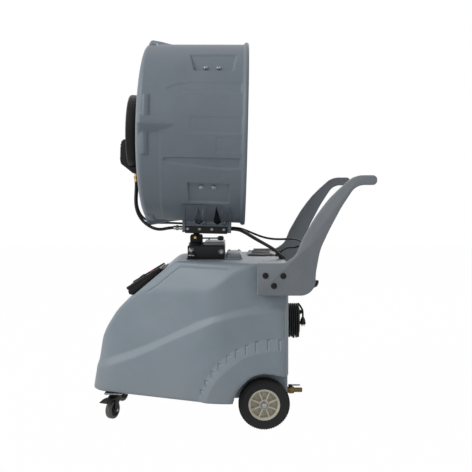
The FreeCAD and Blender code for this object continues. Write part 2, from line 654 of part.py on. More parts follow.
for side, hand in (("near", -1), ("far", 1)):
    arm = handle(hand).fuse(packer(hand)).removeSplitter()
    for x, z in bolt_spots():
        seat = Vector(x, hand * (value("handle_inner") + value("handle_thick") + 1), z)
        into = Vector(0, -hand, 0)
        arm = arm.cut(Part.makeCylinder(value("bolt_head_radius") + 2, value("bolt_head") + 3,
                                        seat, into))
        arm = arm.cut(Part.makeCylinder(value("handle_bolt_radius"), 90, seat, into))
    shape_feature("handle_" + side, arm)


def socket_screw(spot, into, radius, head_radius, head, length):
    """A screw with a round head and a socket, seated at a point and driven inwards."""
    into = Vector(*into)
    spot = Vector(*spot)
    screw = Part.makeCylinder(head_radius, head, spot - into * head, into)
    screw = screw.fuse(Part.makeCylinder(radius, length, spot, into))
    flat = head_radius * 0.55
    side_on = Vector(0, 0, 1) if abs(into.z) < 0.5 else Vector(1, 0, 0)
    across = into.cross(side_on)
    corners = [spot - into * head + (side_on * math.cos(math.radians(60 * i))
               + across * math.sin(math.radians(60 * i))) * flat for i in range(7)]
    socket = Part.Face(Part.makePolygon(corners)).extrude(into * head * 0.6)
    return screw.cut(socket)


def screws(label, rows, place=Placement()):
    solids = [socket_screw(*row) for row in rows]
    return shape_feature(label, Part.makeCompound(solids), place)


handle_rows = []
for hand in (-1, 1):
    seat_y = hand * (value("handle_inner") + value("handle_thick") - value("bolt_head") - 2)
    for x, z in bolt_spots():
        handle_rows.append(((x, seat_y, z), (0, -hand, 0), value("handle_bolt_radius") - 0.05,
                            value("bolt_head_radius"), value("bolt_head"), 25))

# ---------------------------------------------------------------- pedestal and neck
pedestal = new_body("pedestal_box")
base = sketch(pedestal, "XY_Plane", "deck")
rectangle(base, "pedestal_front", "pedestal_rear", "-pedestal_half", "pedestal_half")
extrude(pedestal, "Pad", base, "pedestal_height")
round_edges(pedestal, "pedestal_corner", upright)
under = sketch(pedestal, "XY_Plane", "deck")
rectangle(under, "pedestal_front + pedestal_steel", "pedestal_rear - pedestal_steel",
          "-pedestal_half + pedestal_steel", "pedestal_half - pedestal_steel")
extrude(pedestal, "Pocket", under, "pedestal_height - pedestal_steel", reverse=True)
socket = sketch(pedestal, "XY_Plane", "deck + pedestal_height")
circle(socket, "neck_radius + bush_wall", "neck_x", "0")
extrude(pedestal, "Pocket", socket, "2 * pedestal_steel")
lock_hole = sketch(pedestal, "XZ_Plane", "pedestal_half - 2 * pedestal_steel")
circle(lock_hole, "plunger_radius + running_gap", "plunger_x", "plunger_z")
extrude(pedestal, "Pocket", lock_hole, "4 * pedestal_steel", reverse=True)

bush = new_body("pan_bush")
bush_section = sketch(bush, "XZ_Plane")
outline(bush_section, [
    ("neck_radius + running_gap", "deck + ear_gap"),
    ("neck_radius + bush_wall", "deck + ear_gap"),
    ("neck_radius + bush_wall", "deck + pedestal_height"),
    ("bush_flange", "deck + pedestal_height"),
    ("bush_flange", "deck + pedestal_height + flange_height"),
    ("neck_radius + running_gap", "deck + pedestal_height + flange_height"),
])
turned(bush, "Revolution", bush_section, "V_Axis")
bind(bush, x="neck_x")

cover = new_body("pedestal_cover")
cover_plan = sketch(cover, "XY_Plane", "deck + pedestal_height")
rectangle(cover_plan, "cover_front", "pedestal_rear", "-cover_half", "cover_half")
extrude(cover, "Pad", cover_plan, "cover_height")
round_edges(cover, "flange_height", upright)

pedestal_rows = []
for hand in (-1, 1):
    for x, z in ((value("plunger_x") - 4, value("front_bolt_z")),
                 (value("pedestal_rear") - 13, value("rear_bolt_z"))):
        pedestal_rows.append(((x, hand * value("pedestal_half"), z), (0, -hand, 0), 3.95, 7.0, 4.0,
                              value("pedestal_steel")))
bolt_way = sketch(pedestal, "XZ_Plane")
for x, z in (("plunger_x - 4", "front_bolt_z"), ("pedestal_rear - 13", "rear_bolt_z")):
    circle(bolt_way, "4", x, z)
extrude(pedestal, "Pocket", bolt_way, "3 * pedestal_half", midplane=True)
screws("base_bolts", handle_rows + pedestal_rows)

COLLAR_FOOT = "(deck + pedestal_height + flange_height + ear_gap)"
EAR_OUT = "(tongue_half + ear_gap + ear_steel)"
post = fuse(
    "neck_blank",
    rod("Z", "neck_radius", "collar_top - post_foot", "neck_x", "0", "post_foot"),
    rod("Z", "collar_radius", f"collar_top - {COLLAR_FOOT}", "neck_x", "0", COLLAR_FOOT),
    box("neck_x - tongue_length / 2", f"-{EAR_OUT}", "collar_top - 1", "tongue_length",
        f"2 * {EAR_OUT}", "tilt_z - collar_top"),
    rod("Y", "tongue_radius", f"2 * {EAR_OUT}", "neck_x", f"-{EAR_OUT}", "tilt_z"),
)
slot = box("neck_x - 2 * collar_radius", "-tongue_half - ear_gap", "tilt_z - tongue_radius - 1.5",
           "4 * collar_radius", "2 * (tongue_half + ear_gap)", "4 * tongue_radius")
tilt_bore = rod("Y", "tilt_bolt_radius", f"4 * {EAR_OUT}", "neck_x", f"-2 * {EAR_OUT}", "tilt_z")
keep(cut("neck_post", post, slot, tilt_bore), "neck_post")

keep(fuse(
    "tilt_bolt",
    rod("Y", "tilt_bolt_radius", f"{EAR_OUT} + 8 + lever_y + 14", "neck_x", "-lever_y - 14", "tilt_z"),
    rod("Y", "tilt_head_radius", "6", "neck_x", EAR_OUT, "tilt_z"),
    rod("Y", "tilt_head_radius", "6", "neck_x", f"-{EAR_OUT} - 6", "tilt_z"),
), "tilt_bolt")

LEVER_Y = "(-lever_y - 6)"
clamp = fuse(
    "clamp_body",
    rod("Y", "tilt_head_radius", "12", "neck_x", LEVER_Y, "tilt_z"),
    rod("X", "lever_radius", "lever_length", "neck_x", f"{LEVER_Y} + 6", "tilt_z - 3"),
    rod("X", "lever_knob", "26", "neck_x + lever_length - 13", f"{LEVER_Y} + 6", "tilt_z - 3"),
)
eye_bore = rod("Y", "tilt_bolt_radius + running_gap", "32", "neck_x", f"{LEVER_Y} - 10", "tilt_z")
keep(cut("clamp_lever", clamp, eye_bore), "clamp_lever")

plunger = fuse(
    "plunger_body",
    rod("Y", "plunger_radius", "plunger_reach", "plunger_x", "plunger_y - 10", "plunger_z"),
    rod("Y", "plunger_radius + 4", "4", "plunger_x", "plunger_y - 14", "plunger_z"),
)
ring = doc.addObject("Part::Torus", "pull_ring")
bind(ring, x="plunger_x", y="plunger_y - 14 - ring_radius + 2", z="plunger_z",
     Radius1="ring_radius", Radius2="ring_wire")
keep(fuse("lock_plunger", plunger, ring), "lock_plunger")

# ---------------------------------------------------------------- saddle under the drum
floor_plate = box("saddle_front", "-saddle_half", "saddle_floor", "saddle_rear - saddle_front",
                  "2 * saddle_half", "saddle_steel")
cheeks = [box("saddle_front", y, "saddle_floor", "saddle_rear - saddle_front", "saddle_steel",
              "saddle_side") for y in ("-saddle_half", "saddle_half - saddle_steel")]
tab = fuse(
    "saddle_tab",
    box("neck_x - tongue_radius", "-tongue_half", "tilt_z", "2 * tongue_radius",
        "2 * tongue_half", "saddle_floor - tilt_z + 1"),
    rod("Y", "tongue_radius", "2 * tongue_half", "neck_x", "-tongue_half", "tilt_z"),
)
saddle = fuse("saddle_body", floor_plate, *cheeks, tab)
tab_bore = rod("Y", "tilt_bolt_radius + running_gap", "3 * tongue_half", "neck_x",
               "-1.5 * tongue_half", "tilt_z")

saddle_rows = []
step = (value("saddle_rear") - value("saddle_front")) / 4
for hand in (-1, 1):
    for i in range(4):
        x = value("saddle_front") + step * (i + 0.5)
        z = value("saddle_floor") + value("saddle_side") * 0.6
        saddle_rows.append(((x, hand * value("saddle_half"), z), (0, -hand, 0), 3.45, 6.0, 4.0,
                            value("saddle_bolt_length")))
saddle_ways = [rod("Y", "3.5", "4 * saddle_half", str(row[0][0]), "-2 * saddle_half", str(row[0][2]))
               for row in saddle_rows[:4]]
frame = cut("saddle_frame", saddle, tab_bore, *saddle_ways)
keep(frame, "saddle_frame").Placement = tilted()
screws("saddle_bolts", saddle_rows, tilted())

# ---------------------------------------------------------------- fan drum
drum = new_body("fan_drum")
skin = sketch(drum, "XZ_Plane")
outline(skin, [
    ("drum_front", "mouth_radius"), ("cheek_x", "cheek_radius"), ("barrel_end", "barrel_front"),
    ("lip_front", "barrel_rear"), ("lip_front", "lip_radius"), ("drum_rear", "lip_radius"),
    ("drum_rear", "barrel_rear - drum_wall"), ("barrel_end + 4", "barrel_front - drum_wall"),
    ("cheek_x + 6", "cheek_radius - drum_wall"), ("drum_front + 8", "mouth_radius"),
])
turned(drum, "Revolution", skin)
foot = sketch(drum, "XY_Plane", "-(fan_axis - saddle_floor - saddle_steel - ear_gap)")
rectangle(foot, "foot_front", "foot_rear", "-(saddle_half - saddle_steel - ear_gap)",
          "saddle_half - saddle_steel - ear_gap")
extrude(drum, "Pad", foot, "foot_height")
lug = sketch(drum, "XY_Plane", "lug_top")
rectangle(lug, "barrel_end - 20", "barrel_end - 20 + lug_length", "-lug_half", "lug_half")
extrude(drum, "Pad", lug, "lug_top - barrel_front + 4", reverse=True)
bolt_line = sketch(drum, "XZ_Plane")
for row in saddle_rows[:4]:
    circle(bolt_line, "3.5", str(row[0][0]), f"{row[0][2]} - fan_axis")
extrude(drum, "Pocket", bolt_line, "3 * saddle_half", midplane=True)
drum.Placement = on_fan_axis()


def ring_section(x0, x1, inner, outer):
    """A flat ring about the fan axis, as one turned solid."""
    return Part.makeCylinder(outer, x1 - x0, Vector(x0, 0, 0), Vector(1, 0, 0)).cut(
        Part.makeCylinder(inner, x1 - x0, Vector(x0, 0, 0), Vector(1, 0, 0)))


def guard(x0, outer, spokes, plate):
    """A finger guard: concentric rings on radial bars about a middle plate."""
    bar, depth, hub = value("guard_bar"), value("guard_depth"), value("guard_hub")
    solid = ring_section(x0, x0 + depth, outer - 2 * bar, outer)
    solid = solid.fuse(Part.makeCylinder(hub, depth, Vector(x0, 0, 0), Vector(1, 0, 0)) if plate
                       else ring_section(x0, x0 + depth, hub - 2 * bar, hub))
    count = int(value("guard_rings"))
    for i in range(1, count + 1):
        radius = hub + (outer - hub) * i / (count + 1)
        solid = solid.fuse(ring_section(x0, x0 + depth, radius, radius + bar))
    for i in range(spokes):
        spoke = Part.makeBox(depth, bar, outer - hub, Vector(x0, -bar / 2, hub - bar / 2))
        spoke.rotate(Vector(), Vector(1, 0, 0), 360 * i / spokes + 22.5)
        solid = solid.fuse(spoke)
    return solid.removeSplitter()


shape_feature("front_guard", guard(value("drum_front"), value("mouth_radius"), 8, True), on_fan_axis())
rear_outer = value("barrel_rear") - value("drum_wall") - 1.5
shape_feature("rear_guard", guard(value("drum_rear") - 12, rear_outer, 8, True), on_fan_axis())

motor = new_body("fan_motor")
motor_skin = sketch(motor, "XZ_Plane")
outline(motor_skin, [
    ("motor_front", "0"), ("motor_front", "motor_radius - 22"), ("motor_front + 8", "motor_radius"),
    ("motor_front + motor_length - 8", "motor_radius"),
    ("motor_front + motor_length", "motor_radius - 22"), ("motor_front + motor_length", "0"),
])
turned(motor, "Revolution", motor_skin)
shaft_hole = sketch(motor, "YZ_Plane", "motor_front")
circle(shaft_hole, "shaft_radius + running_gap")
extrude(motor, "Pocket", shaft_hole, "60", reverse=True)
motor.Placement = on_fan_axis()

strap_x, strap_t, strap_w = value("strap_x"), value("strap_thick"), value("strap_width")
band_ring = ring_section(strap_x, strap_x + strap_w, value("motor_radius"),
                         value("motor_radius") + strap_t)
span_x = value("lip_front") - value("barrel_end")
slope_in = (value("barrel_rear") - value("barrel_front")) / span_x
inner_here = value("barrel_front") + (strap_x - value("barrel_end")) * slope_in - value("drum_wall")
arm_end = inner_here - 3
bracket = band_ring
for i in range(4):
    strap = Part.makeBox(strap_w, strap_t, arm_end - value("motor_radius") - 2,
                         Vector(strap_x, -strap_t / 2, value("motor_radius") + 2))
    shoe = Part.makeBox(strap_w, 5 * strap_t, strap_t,
                        Vector(strap_x, -2.5 * strap_t, arm_end - strap_t))
    for arm_solid in (strap, shoe):
        arm_solid.rotate(Vector(), Vector(1, 0, 0), 45 + 90 * i)
        bracket = bracket.fuse(arm_solid)
shape_feature("motor_bracket", bracket.removeSplitter(), on_fan_axis())

hub_x, hub_len = value("fan_x"), value("fan_hub_length")
fan = Part.makeCylinder(value("fan_hub"), hub_len, Vector(hub_x - hub_len / 2, 0, 0), Vector(1, 0, 0))
count = int(value("blades"))
for i in range(count):
    chord, thick = value("blade_chord"), value("blade_thick")
    blade = Part.makeBox(thick, chord, value("fan_radius"), Vector(-thick / 2, -chord / 2, 0))
    blade.rotate(Vector(), Vector(0, 0, 1), 90 - value("blade_pitch"))
    blade.translate(Vector(hub_x, 0, 20))
    blade.rotate(Vector(), Vector(1, 0, 0), 360 * i / count)
    fan = fan.fuse(blade)
fan = fan.common(Part.makeCylinder(value("fan_radius"), 300, Vector(hub_x - 150, 0, 0), Vector(1, 0, 0)))
shaft_reach = value("motor_front") + 50 - hub_x
fan = fan.fuse(Part.makeCylinder(value("shaft_radius"), shaft_reach, Vector(hub_x, 0, 0),
                                 Vector(1, 0, 0)))
shape_feature("fan_impeller", fan, on_fan_axis())

# ---------------------------------------------------------------- mist head
cup = new_body("mist_housing")
cup_section = sketch(cup, "XZ_Plane")
outline(cup_section, [
    ("drum_front", "guard_hub - 20"), ("drum_front", "guard_hub + 30"),
    ("drum_front - 12", "cup_radius - 12"), ("cup_front + 6", "cup_radius"),
    ("cup_front", "cup_radius - 4"), ("cup_front", "cup_radius - 10"),
    ("drum_front - 12 - cup_wall", "cup_radius - 24"),
    ("drum_front - cup_wall", "guard_hub + 20"),
    ("drum_front - cup_wall", "guard_hub - 20"),
])
turned(cup, "Revolution", cup_section)
chin = sketch(cup, "XZ_Plane")
outline(chin, [
    ("cup_front + 20", "block_top - fan_axis"), ("block_front + 10", "block_top - fan_axis"),
    ("block_front", "block_bottom - fan_axis + 8"), ("block_front + 6", "block_bottom - fan_axis"),
    ("elbow_x - 12", "elbow_foot + 30 - fan_axis"), ("elbow_x + 12", "elbow_foot + 30 - fan_axis"),
    ("drum_front - 12", "block_bottom - fan_axis"), ("cup_front + 20", "block_bottom - fan_axis + 8"),
])
extrude(cup, "Pad", chin, "2 * block_half", midplane=True)
disc_room = sketch(cup, "YZ_Plane", "cup_front - 60")
circle(disc_room, "disc_radius + 6")
extrude(cup, "Pocket", disc_room, "60 + 26", reverse=True)
cup.Placement = on_fan_axis()

can = sketch(cup, "YZ_Plane", "drum_front - cup_wall - mist_motor_length")
circle(can, "mist_motor_radius")
extrude(cup, "Pad", can, "mist_motor_length")
shaft_way = sketch(cup, "YZ_Plane", "drum_front - cup_wall - mist_motor_length")
circle(shaft_way, "mist_shaft + running_gap")
extrude(cup, "Pocket", shaft_way, "mist_motor_length - 6", reverse=True)

disc = new_body("mist_disc")
disc_section = sketch(disc, "XZ_Plane")
outline(disc_section, [
    ("disc_x - disc_thick", "0"), ("disc_x - disc_thick", "disc_radius"), ("disc_x + 9", "disc_radius"),
    ("disc_x + 9", "disc_radius - disc_thick"), ("disc_x", "disc_radius - disc_thick"),
    ("disc_x", "16"), ("disc_x + 8", "16"), ("disc_x + 8", "mist_shaft"),
    ("drum_front - cup_wall - 12", "mist_shaft"), ("drum_front - cup_wall - 12", "0"),
])
turned(disc, "Revolution", disc_section)
disc.Placement = on_fan_axis()

AXIS_DOWN = "elbow_foot - fan_axis"
elbow = fuse(
    "brass_fittings",
    rod("Z", "8", "36", "elbow_x", "elbow_y", AXIS_DOWN),
    rod("Z", "10", "8", "elbow_x", "elbow_y", AXIS_DOWN + " + 6"),
    rod("Z", "6.5", "28", "elbow_x", "cable_y", AXIS_DOWN + " + 10"),
    rod("Z", "8.5", "7", "elbow_x", "cable_y", AXIS_DOWN + " + 16"),
)
chin_copy = box("block_front", "-block_half", AXIS_DOWN + " + 30", "drum_front - block_front",
                "2 * block_half", "60")
keep(cut("brass_elbow", elbow, chin_copy), "brass_elbow").Placement = on_fan_axis()

# ---------------------------------------------------------------- control box on the slope
rise = math.atan2(value("deck") - value("slope_low_z"), value("slope_top_x") - value("slope_low_x"))


def on_slope():
    """The control box's frame: x runs up the slope, z stands square to it."""
    foot = Vector(value("box_low_x"), 0, value("box_low_z") + value("ear_gap"))
    return Placement(foot, Rotation(Vector(0, 1, 0), -math.degrees(rise)))


def on_panel():
    """The sloping top of the control box, with x up the panel from its low end."""
    fall = math.atan2(value("box_low_rise") - value("box_high_rise"), value("box_length"))
    foot = Vector(0, 0, value("box_low_rise"))
    return on_slope().multiply(Placement(foot, Rotation(Vector(0, 1, 0), math.degrees(fall))))


housing = new_body("control_housing")
wedge = sketch(housing, "XZ_Plane")
outline(wedge, [
    ("6", "0"), ("box_length", "0"), ("box_length", "box_high_rise"), ("0", "box_low_rise"),
    ("-10", "box_low_rise - 12"),
])
extrude(housing, "Pad", wedge, "2 * box_half", midplane=True)
housing.Placement = on_slope()

plate = box("8", "-box_half + 8", "ear_gap", "panel_length", "2 * box_half - 16", "panel_thick")
stems = [rod("Z", "knob_stem + running_gap", "4 * panel_thick", "knob_place", y, "-panel_thick")
         for y in ("-knob_spread", "knob_spread")]
keep(cut("control_panel", plate, *stems), "control_panel").Placement = on_panel()
PANEL_TOP = "panel_thick + 2 * ear_gap"
for name, y in (("speed_knob", "-knob_spread"), ("mist_knob", "knob_spread")):
    knob = fuse(name + "_body", rod("Z", "knob_radius", "knob_height", "knob_place", y, PANEL_TOP),
                rod("Z", "knob_stem", "panel_thick + 1", "knob_place", y, "2 * ear_gap - 0.2"),
                box("knob_place", f"{y} - 1.5", f"{PANEL_TOP} + knob_height - 1", "knob_radius - 2", "3", "2"))
    keep(knob, name).Placement = on_panel()
isolator = fuse(
    "isolator",
    rod("Z", "rocker_width / 2", "rocker_rise", "switch_place", "0", PANEL_TOP),
    box("switch_place - rocker_length / 2", "-rocker_rise", PANEL_TOP, "rocker_length", "2 * rocker_rise",
        "2 * rocker_rise"),
)
keep(isolator, "power_switch").Placement = on_panel()

# ---------------------------------------------------------------- rear fittings
WALL_X = "tank_rear"
hook = fuse(
    "upper_hook",
    rod("X", "hook_radius", "hook_reach - hook_radius - 1 - tank_rear", WALL_X, "0", "hook_z"),
    rod("X", "hook_radius + 12", "5", WALL_X, "0", "hook_z"),
    rod("Z", "hook_radius + 1", "36", "hook_reach - hook_radius - 1", "0", "hook_z - 10"),
)
peg = fuse(
    "lower_peg",
    rod("X", "peg_radius", "peg_reach - peg_radius + 2 - tank_rear", WALL_X, "peg_y", "peg_height"),
    rod("X", "peg_radius + 8", "3.7", WALL_X, "peg_y", "peg_height"),
    rod("Z", "peg_radius - 2", "22", "peg_reach - peg_radius + 2", "peg_y", "peg_height"),
)
keep(group("cord_hooks", [hook, peg]), "cord_hooks")

valve = fuse(
    "valve_body",
    rod("X", "valve_radius", "valve_length", WALL_X, "spigot_y", "spigot_z"),
    rod("X", "spigot_radius", "spigot_length", "tank_rear + valve_length - 1", "spigot_y", "spigot_z"),
)
water_way = rod("X", "spigot_bore", "100", "tank_rear - 10", "spigot_y", "spigot_z")
keep(cut("drain_valve", valve, water_way), "drain_valve")
stem_z = "spigot_z + valve_radius + ear_gap"
lever = fuse(
    "drain_lever",
    rod("Z", "9", "7", "tank_rear + valve_length / 2", "spigot_y", stem_z),
    box("tank_rear + valve_length / 2", "spigot_y - 5", stem_z + " + 3", "40", "10", "4"),
)
keep(lever, "drain_lever")

# ---------------------------------------------------------------- pump in the tank
PUMP_Z = "tank_floor + tank_wall"
pump = fuse(
    "water_pump",
    rod("Z", "pump_radius", "pump_height", "pump_x", "0", PUMP_Z),
    rod("X", "pump_inlet", "pump_radius + 22", "pump_x", "0", PUMP_Z + " + 20"),
    rod("Z", "pump_inlet", "30", "pump_x", "0", PUMP_Z + " + pump_height - 1"),
)
keep(pump, "water_pump")

# ---------------------------------------------------------------- hoses, cables and the power cord
coupling = fuse(
    "coupling_body",
    rod("X", "8", "40", "foot_front - 40", "elbow_y", "coupling_z"),
    rod("X", "11", "12", "foot_front - 30", "elbow_y", "coupling_z"),
)
keep(coupling, "hose_coupling").Placement = tilted()

necks = []
for y, x, lean in (("gland_y", "gland_x", "-gland_lean"), ("gland_y + gland_step", "gland_x", "-gland_lean"),
                   ("loop_gland_y", "loop_gland_x", "gland_lean")):
    neck = rod("Z", "gland_radius", "gland_height + gland_radius",
               f"{x} - gland_radius * sin({lean})", y, "deck - gland_radius * cos(gland_lean)")
    neck.Placement.Rotation = Rotation(Vector(0, 1, 0), value("gland_lean") * (-1 if "-" in lean else 1))
    necks.append(neck)
    necks.append(rod("Z", "gland_radius + 2", "4", f"{x} + gland_radius / 3 * sin({lean})", y, "deck"))
below_deck = box("gland_x - 60", "gland_y - 60", "deck - 60", "120", "300", "60")
keep(cut("hose_glands", fuse("gland_bodies", *necks), below_deck), "hose_glands")
keep(rod("X", "hose_radius + 2", "hank_front - tank_rear", "tank_rear", "peg_y + 36", "plug_z",
         "power_gland"), "power_gland")

MIST_HOSE = [
    (-387, -18, 975), (-387.8, -18, 942), (-390.5, -18, 907), (-389.5, -19, 872), (-380, -20, 839),
    (-363.5, -20, 813), (-341, -20, 792.5), (-314, -20, 778), (-285, -19, 773.5), (-257, -18, 779.5),
    (-230.4, -18, 782),
]
MIST_CABLE = [
    (-386.8, 30, 984.6), (-387.6, 30, 952), (-391, 30, 917), (-391.5, 29, 882), (-383, 28, 848),
    (-364, 27, 820), (-336, 26, 804), (-302, 25, 799.5), (-266, 24.5, 800), (-227, 24, 799),
    (-189.9, 24, 797),
]
REAR_HOSE_A = [
    (13.1, -34, 777), (40, -34.5, 776.2), (68, -42, 765), (96, -55, 749), (125, -69, 732),
    (153, -81, 717), (177, -90, 703.5), (196, -94, 691.5), (212.6, -95, 674.4),
]
REAR_HOSE_B = [
    (13.1, -10, 776), (41, -10.5, 775), (70, -17, 762), (98, -29, 745.5), (127, -43, 729),
    (154, -55, 715), (178, -63, 701.5), (197, -66.5, 689.5), (212.6, -67, 674.4),
]
LOOP_CABLE = [
    (13.1, 14, 780), (44, 13.5, 779.2), (78, 8, 768), (112, -1, 754), (147, -12, 741), (184, -22, 734),
    (222, -27, 733), (256, -29, 735), (289, -24, 732), (314, -1, 720), (314, 32, 703), (288, 53, 691),
    (252, 54, 692), (227.4, 50, 674.4),
]
tube("mist_hose", MIST_HOSE, value("hose_radius"))
tube("mist_cable", MIST_CABLE, value("cable_radius"))
tube("rear_hose_a", REAR_HOSE_A, value("bundle_radius"))
tube("rear_hose_b", REAR_HOSE_B, value("bundle_radius"))
tube("loop_cable", LOOP_CABLE, value("cable_radius"))

hank = new_body("cord_hank")
ring_plan = sketch(hank, "YZ_Plane", "hank_front")
for grow in ("0", "hank_ring"):
    outline(ring_plan, [
        (f"-hank_half / 2", f"hank_bottom + {grow}"), (f"hank_half / 2", f"hank_bottom + {grow}"),
        (f"hank_half - {grow}", f"hank_bottom + hank_half / 2 + {grow} / 2"),
        (f"hank_half - {grow}", f"hank_top - hank_half / 2 - {grow} / 2"),
        (f"hank_half / 2", f"hank_top - {grow}"), (f"-hank_half / 2", f"hank_top - {grow}"),
        (f"-hank_half + {grow}", f"hank_top - hank_half / 2 - {grow} / 2"),
        (f"-hank_half + {grow}", f"hank_bottom + hank_half / 2 + {grow} / 2"),
    ])
extrude(hank, "Pad", ring_plan, "hank_rear - hank_front")
bind(hank, y="peg_y")

keep(rod("Z", "plug_radius", "plug_length", "hank_rear + ear_gap + plug_radius", "plug_y",
         "plug_z - plug_length / 2"), "power_plug")

# ---------------------------------------------------------------- checks and files
doc.recompute()
failed = [o.Label for o in doc.Objects if "Invalid" in o.State or "Error" in o.State]
for piece in pieces:
    shape = piece.Shape
    if shape.isNull() or not shape.isValid() or not shape.Solids:
        failed.append(piece.Label)
if failed:
    raise RuntimeError(f"these objects did not build: {failed}")
os.makedirs("parts", exist_ok=True)
for piece in pieces:
    piece.Shape.exportStep(f"parts/{piece.Label}.step")
print(len(pieces), "sub-parts written")
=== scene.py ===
"""A mobile misting fan: a drum fan and a spinning mist disc on a wheeled water tank."""

import math
import random

import bmesh
import bpy
import numpy as np
from mathutils import Matrix, Vector


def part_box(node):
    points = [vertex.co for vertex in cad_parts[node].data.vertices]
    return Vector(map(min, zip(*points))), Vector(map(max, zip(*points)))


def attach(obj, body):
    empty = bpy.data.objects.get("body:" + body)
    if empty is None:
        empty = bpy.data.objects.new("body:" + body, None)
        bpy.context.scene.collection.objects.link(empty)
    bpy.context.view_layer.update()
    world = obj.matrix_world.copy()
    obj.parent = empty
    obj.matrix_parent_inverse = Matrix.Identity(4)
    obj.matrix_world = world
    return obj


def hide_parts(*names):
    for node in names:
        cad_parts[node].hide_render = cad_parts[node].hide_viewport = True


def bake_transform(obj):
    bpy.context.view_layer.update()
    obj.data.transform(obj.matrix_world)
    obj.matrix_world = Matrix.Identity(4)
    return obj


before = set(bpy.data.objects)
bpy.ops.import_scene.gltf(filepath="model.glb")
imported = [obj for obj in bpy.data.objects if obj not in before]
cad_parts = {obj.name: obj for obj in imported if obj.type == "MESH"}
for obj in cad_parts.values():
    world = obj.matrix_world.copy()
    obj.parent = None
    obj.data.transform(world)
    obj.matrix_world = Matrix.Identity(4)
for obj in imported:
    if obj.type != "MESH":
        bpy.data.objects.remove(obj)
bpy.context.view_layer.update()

MM = 0.001  # the pieces are worked out in millimetres, and Blender holds metres
FAN_AXIS = 1175.5  # height of the fan axis with the head level
ON_FAN_AXIS = Matrix.Translation((0, 0, FAN_AXIS))
TILT_PIN = Vector((-135.0, 0, 745.5))
HEAD_TILT = math.radians(1.3)  # the head stands nose up by this much
HEAD_PLACE = Matrix.Translation(TILT_PIN) @ Matrix.Rotation(HEAD_TILT, 4, "Y") @ Matrix.Translation(-TILT_PIN)
AXLE = Vector((143.7, 0, 101.6))  # middle of the rear axle
LEAD_GLAND = (0, 15.6, 385.4)  # where the power lead comes out, from x = 0
ARM_SCREWS = ((145, 617), (212.5, 616), (177.5, 578))  # x and z of the screws in each handle's bracket
SIDES = ((-1, "near"), (1, "far"))  # the side of the machine that y points away from, and the one it points to


# ------------------------------------------------------------- camera and light
def placed(name, data):
    """An object of the given data, in the scene."""
    made = bpy.data.objects.new(name, data)
    bpy.context.scene.collection.objects.link(made)
    return made


def as_mesh(bm, name):
    """The shape as a mesh."""
    mesh = bpy.data.meshes.new(name)
    bm.to_mesh(mesh)
    bm.free()
    return mesh


def studio():
    """The camera stands level with the handles and looks square at the near side."""
    lens = bpy.data.cameras.new("camera")
    lens.sensor_width = 36
    lens.lens = 57.5
    camera = placed("camera", lens)
    camera.location = (0.033, -3.2, 0.953)
    camera.rotation_euler = (math.radians(90 - 3.718), 0, 0)
    bpy.context.scene.camera = camera
    for name, place, aim, size, power in (
        ("window_light", (-3.9, -2.0, 3.7), (0, 0, 0.75), 4.0, 172),
        ("room_light", (1.6, -4.2, 2.2), (0.1, 0, 0.8), 3.0, 17),
        ("back_light", (1.4, 3.4, 2.6), (0, 0, 0.8), 2.6, 45),
    ):
        lamp = bpy.data.lights.new(name, "AREA")
        lamp.shape = "DISK"
        lamp.size = size
        lamp.energy = power
        stand = placed(name, lamp)
        stand.location = place
        stand.rotation_euler = (Vector(aim) - Vector(place)).to_track_quat("-Z", "Y").to_euler()
    bpy.context.scene.view_settings.view_transform = "Standard"


def linear(code):
    """An sRGB hex colour as the linear colour that a shader takes."""
    shares = [int(code[i:i + 2], 16) / 255 for i in (1, 3, 5)]
    return [s / 12.92 if s <= 0.04045 else ((s + 0.055) / 1.055) ** 2.4 for s in shares] + [1.0]


def add(tree, kind, settings=(), **inputs):
    """Adds a node. Each input is a number, a colour or another node's output, by its socket's name or number."""
    made = tree.nodes.new(kind)
    for name, setting in dict(settings).items():
        setattr(made, name, setting)
    for name, given in inputs.items():
        socket = made.inputs[int(name[1:]) if name[0] == "_" else name.replace("_", " ")]
        if isinstance(given, bpy.types.NodeSocket):
            tree.links.new(given, socket)
        else:
            socket.default_value = given
    return made


def seen(tree):
    """1 for the rays that show the white room: straight to the camera, in a reflection or through glass."""
    path = add(tree, "ShaderNodeLightPath")
    both = add(tree, "ShaderNodeMath", {"operation": "MAXIMUM"},
               _0=path.outputs["Is Camera Ray"], _1=path.outputs["Is Glossy Ray"])
    return add(tree, "ShaderNodeMath", {"operation": "MAXIMUM"},
               _0=both.outputs[0], _1=path.outputs["Is Transmission Ray"]).outputs[0]


def white_room():
    """White behind the object, plain soft light on it."""
    world = bpy.data.worlds.new("white_room")
    bpy.context.scene.world = world
    world.use_nodes = True
    tree = world.node_tree
    tree.nodes.clear()
    light = add(tree, "ShaderNodeBackground", Color=linear("#F1F2F4"), Strength=0.40)
    shown = add(tree, "ShaderNodeBackground", Color=(1, 1, 1, 1), Strength=1.0)
    mix = add(tree, "ShaderNodeMixShader", _0=seen(tree), _1=light.outputs[0], _2=shown.outputs[0])
    add(tree, "ShaderNodeOutputWorld", Surface=mix.outputs[0])

    bm = bmesh.new()
    bmesh.ops.create_grid(bm, x_segments=2, y_segments=2, size=9)
    mesh = as_mesh(bm, "floor")
    floor = placed("floor", mesh)
    paint = bpy.data.materials.new("white_painted_floor")
    paint.use_nodes = True
    tree = paint.node_tree
    tree.nodes.clear()
    plain = add(tree, "ShaderNodeBsdfDiffuse", Color=linear("#DADADA"))
    glow = add(tree, "ShaderNodeEmission", Color=(1, 1, 1, 1), Strength=1.0)
    share = add(tree, "ShaderNodeMath", {"operation": "MULTIPLY"}, _0=seen(tree), _1=0.99)
    mix = add(tree, "ShaderNodeMixShader", _0=share.outputs[0], _1=plain.outputs[0], _2=glow.outputs[0])
    add(tree, "ShaderNodeOutputMaterial", Surface=mix.outputs[0])
    mesh.materials.append(paint)


studio()
white_room()


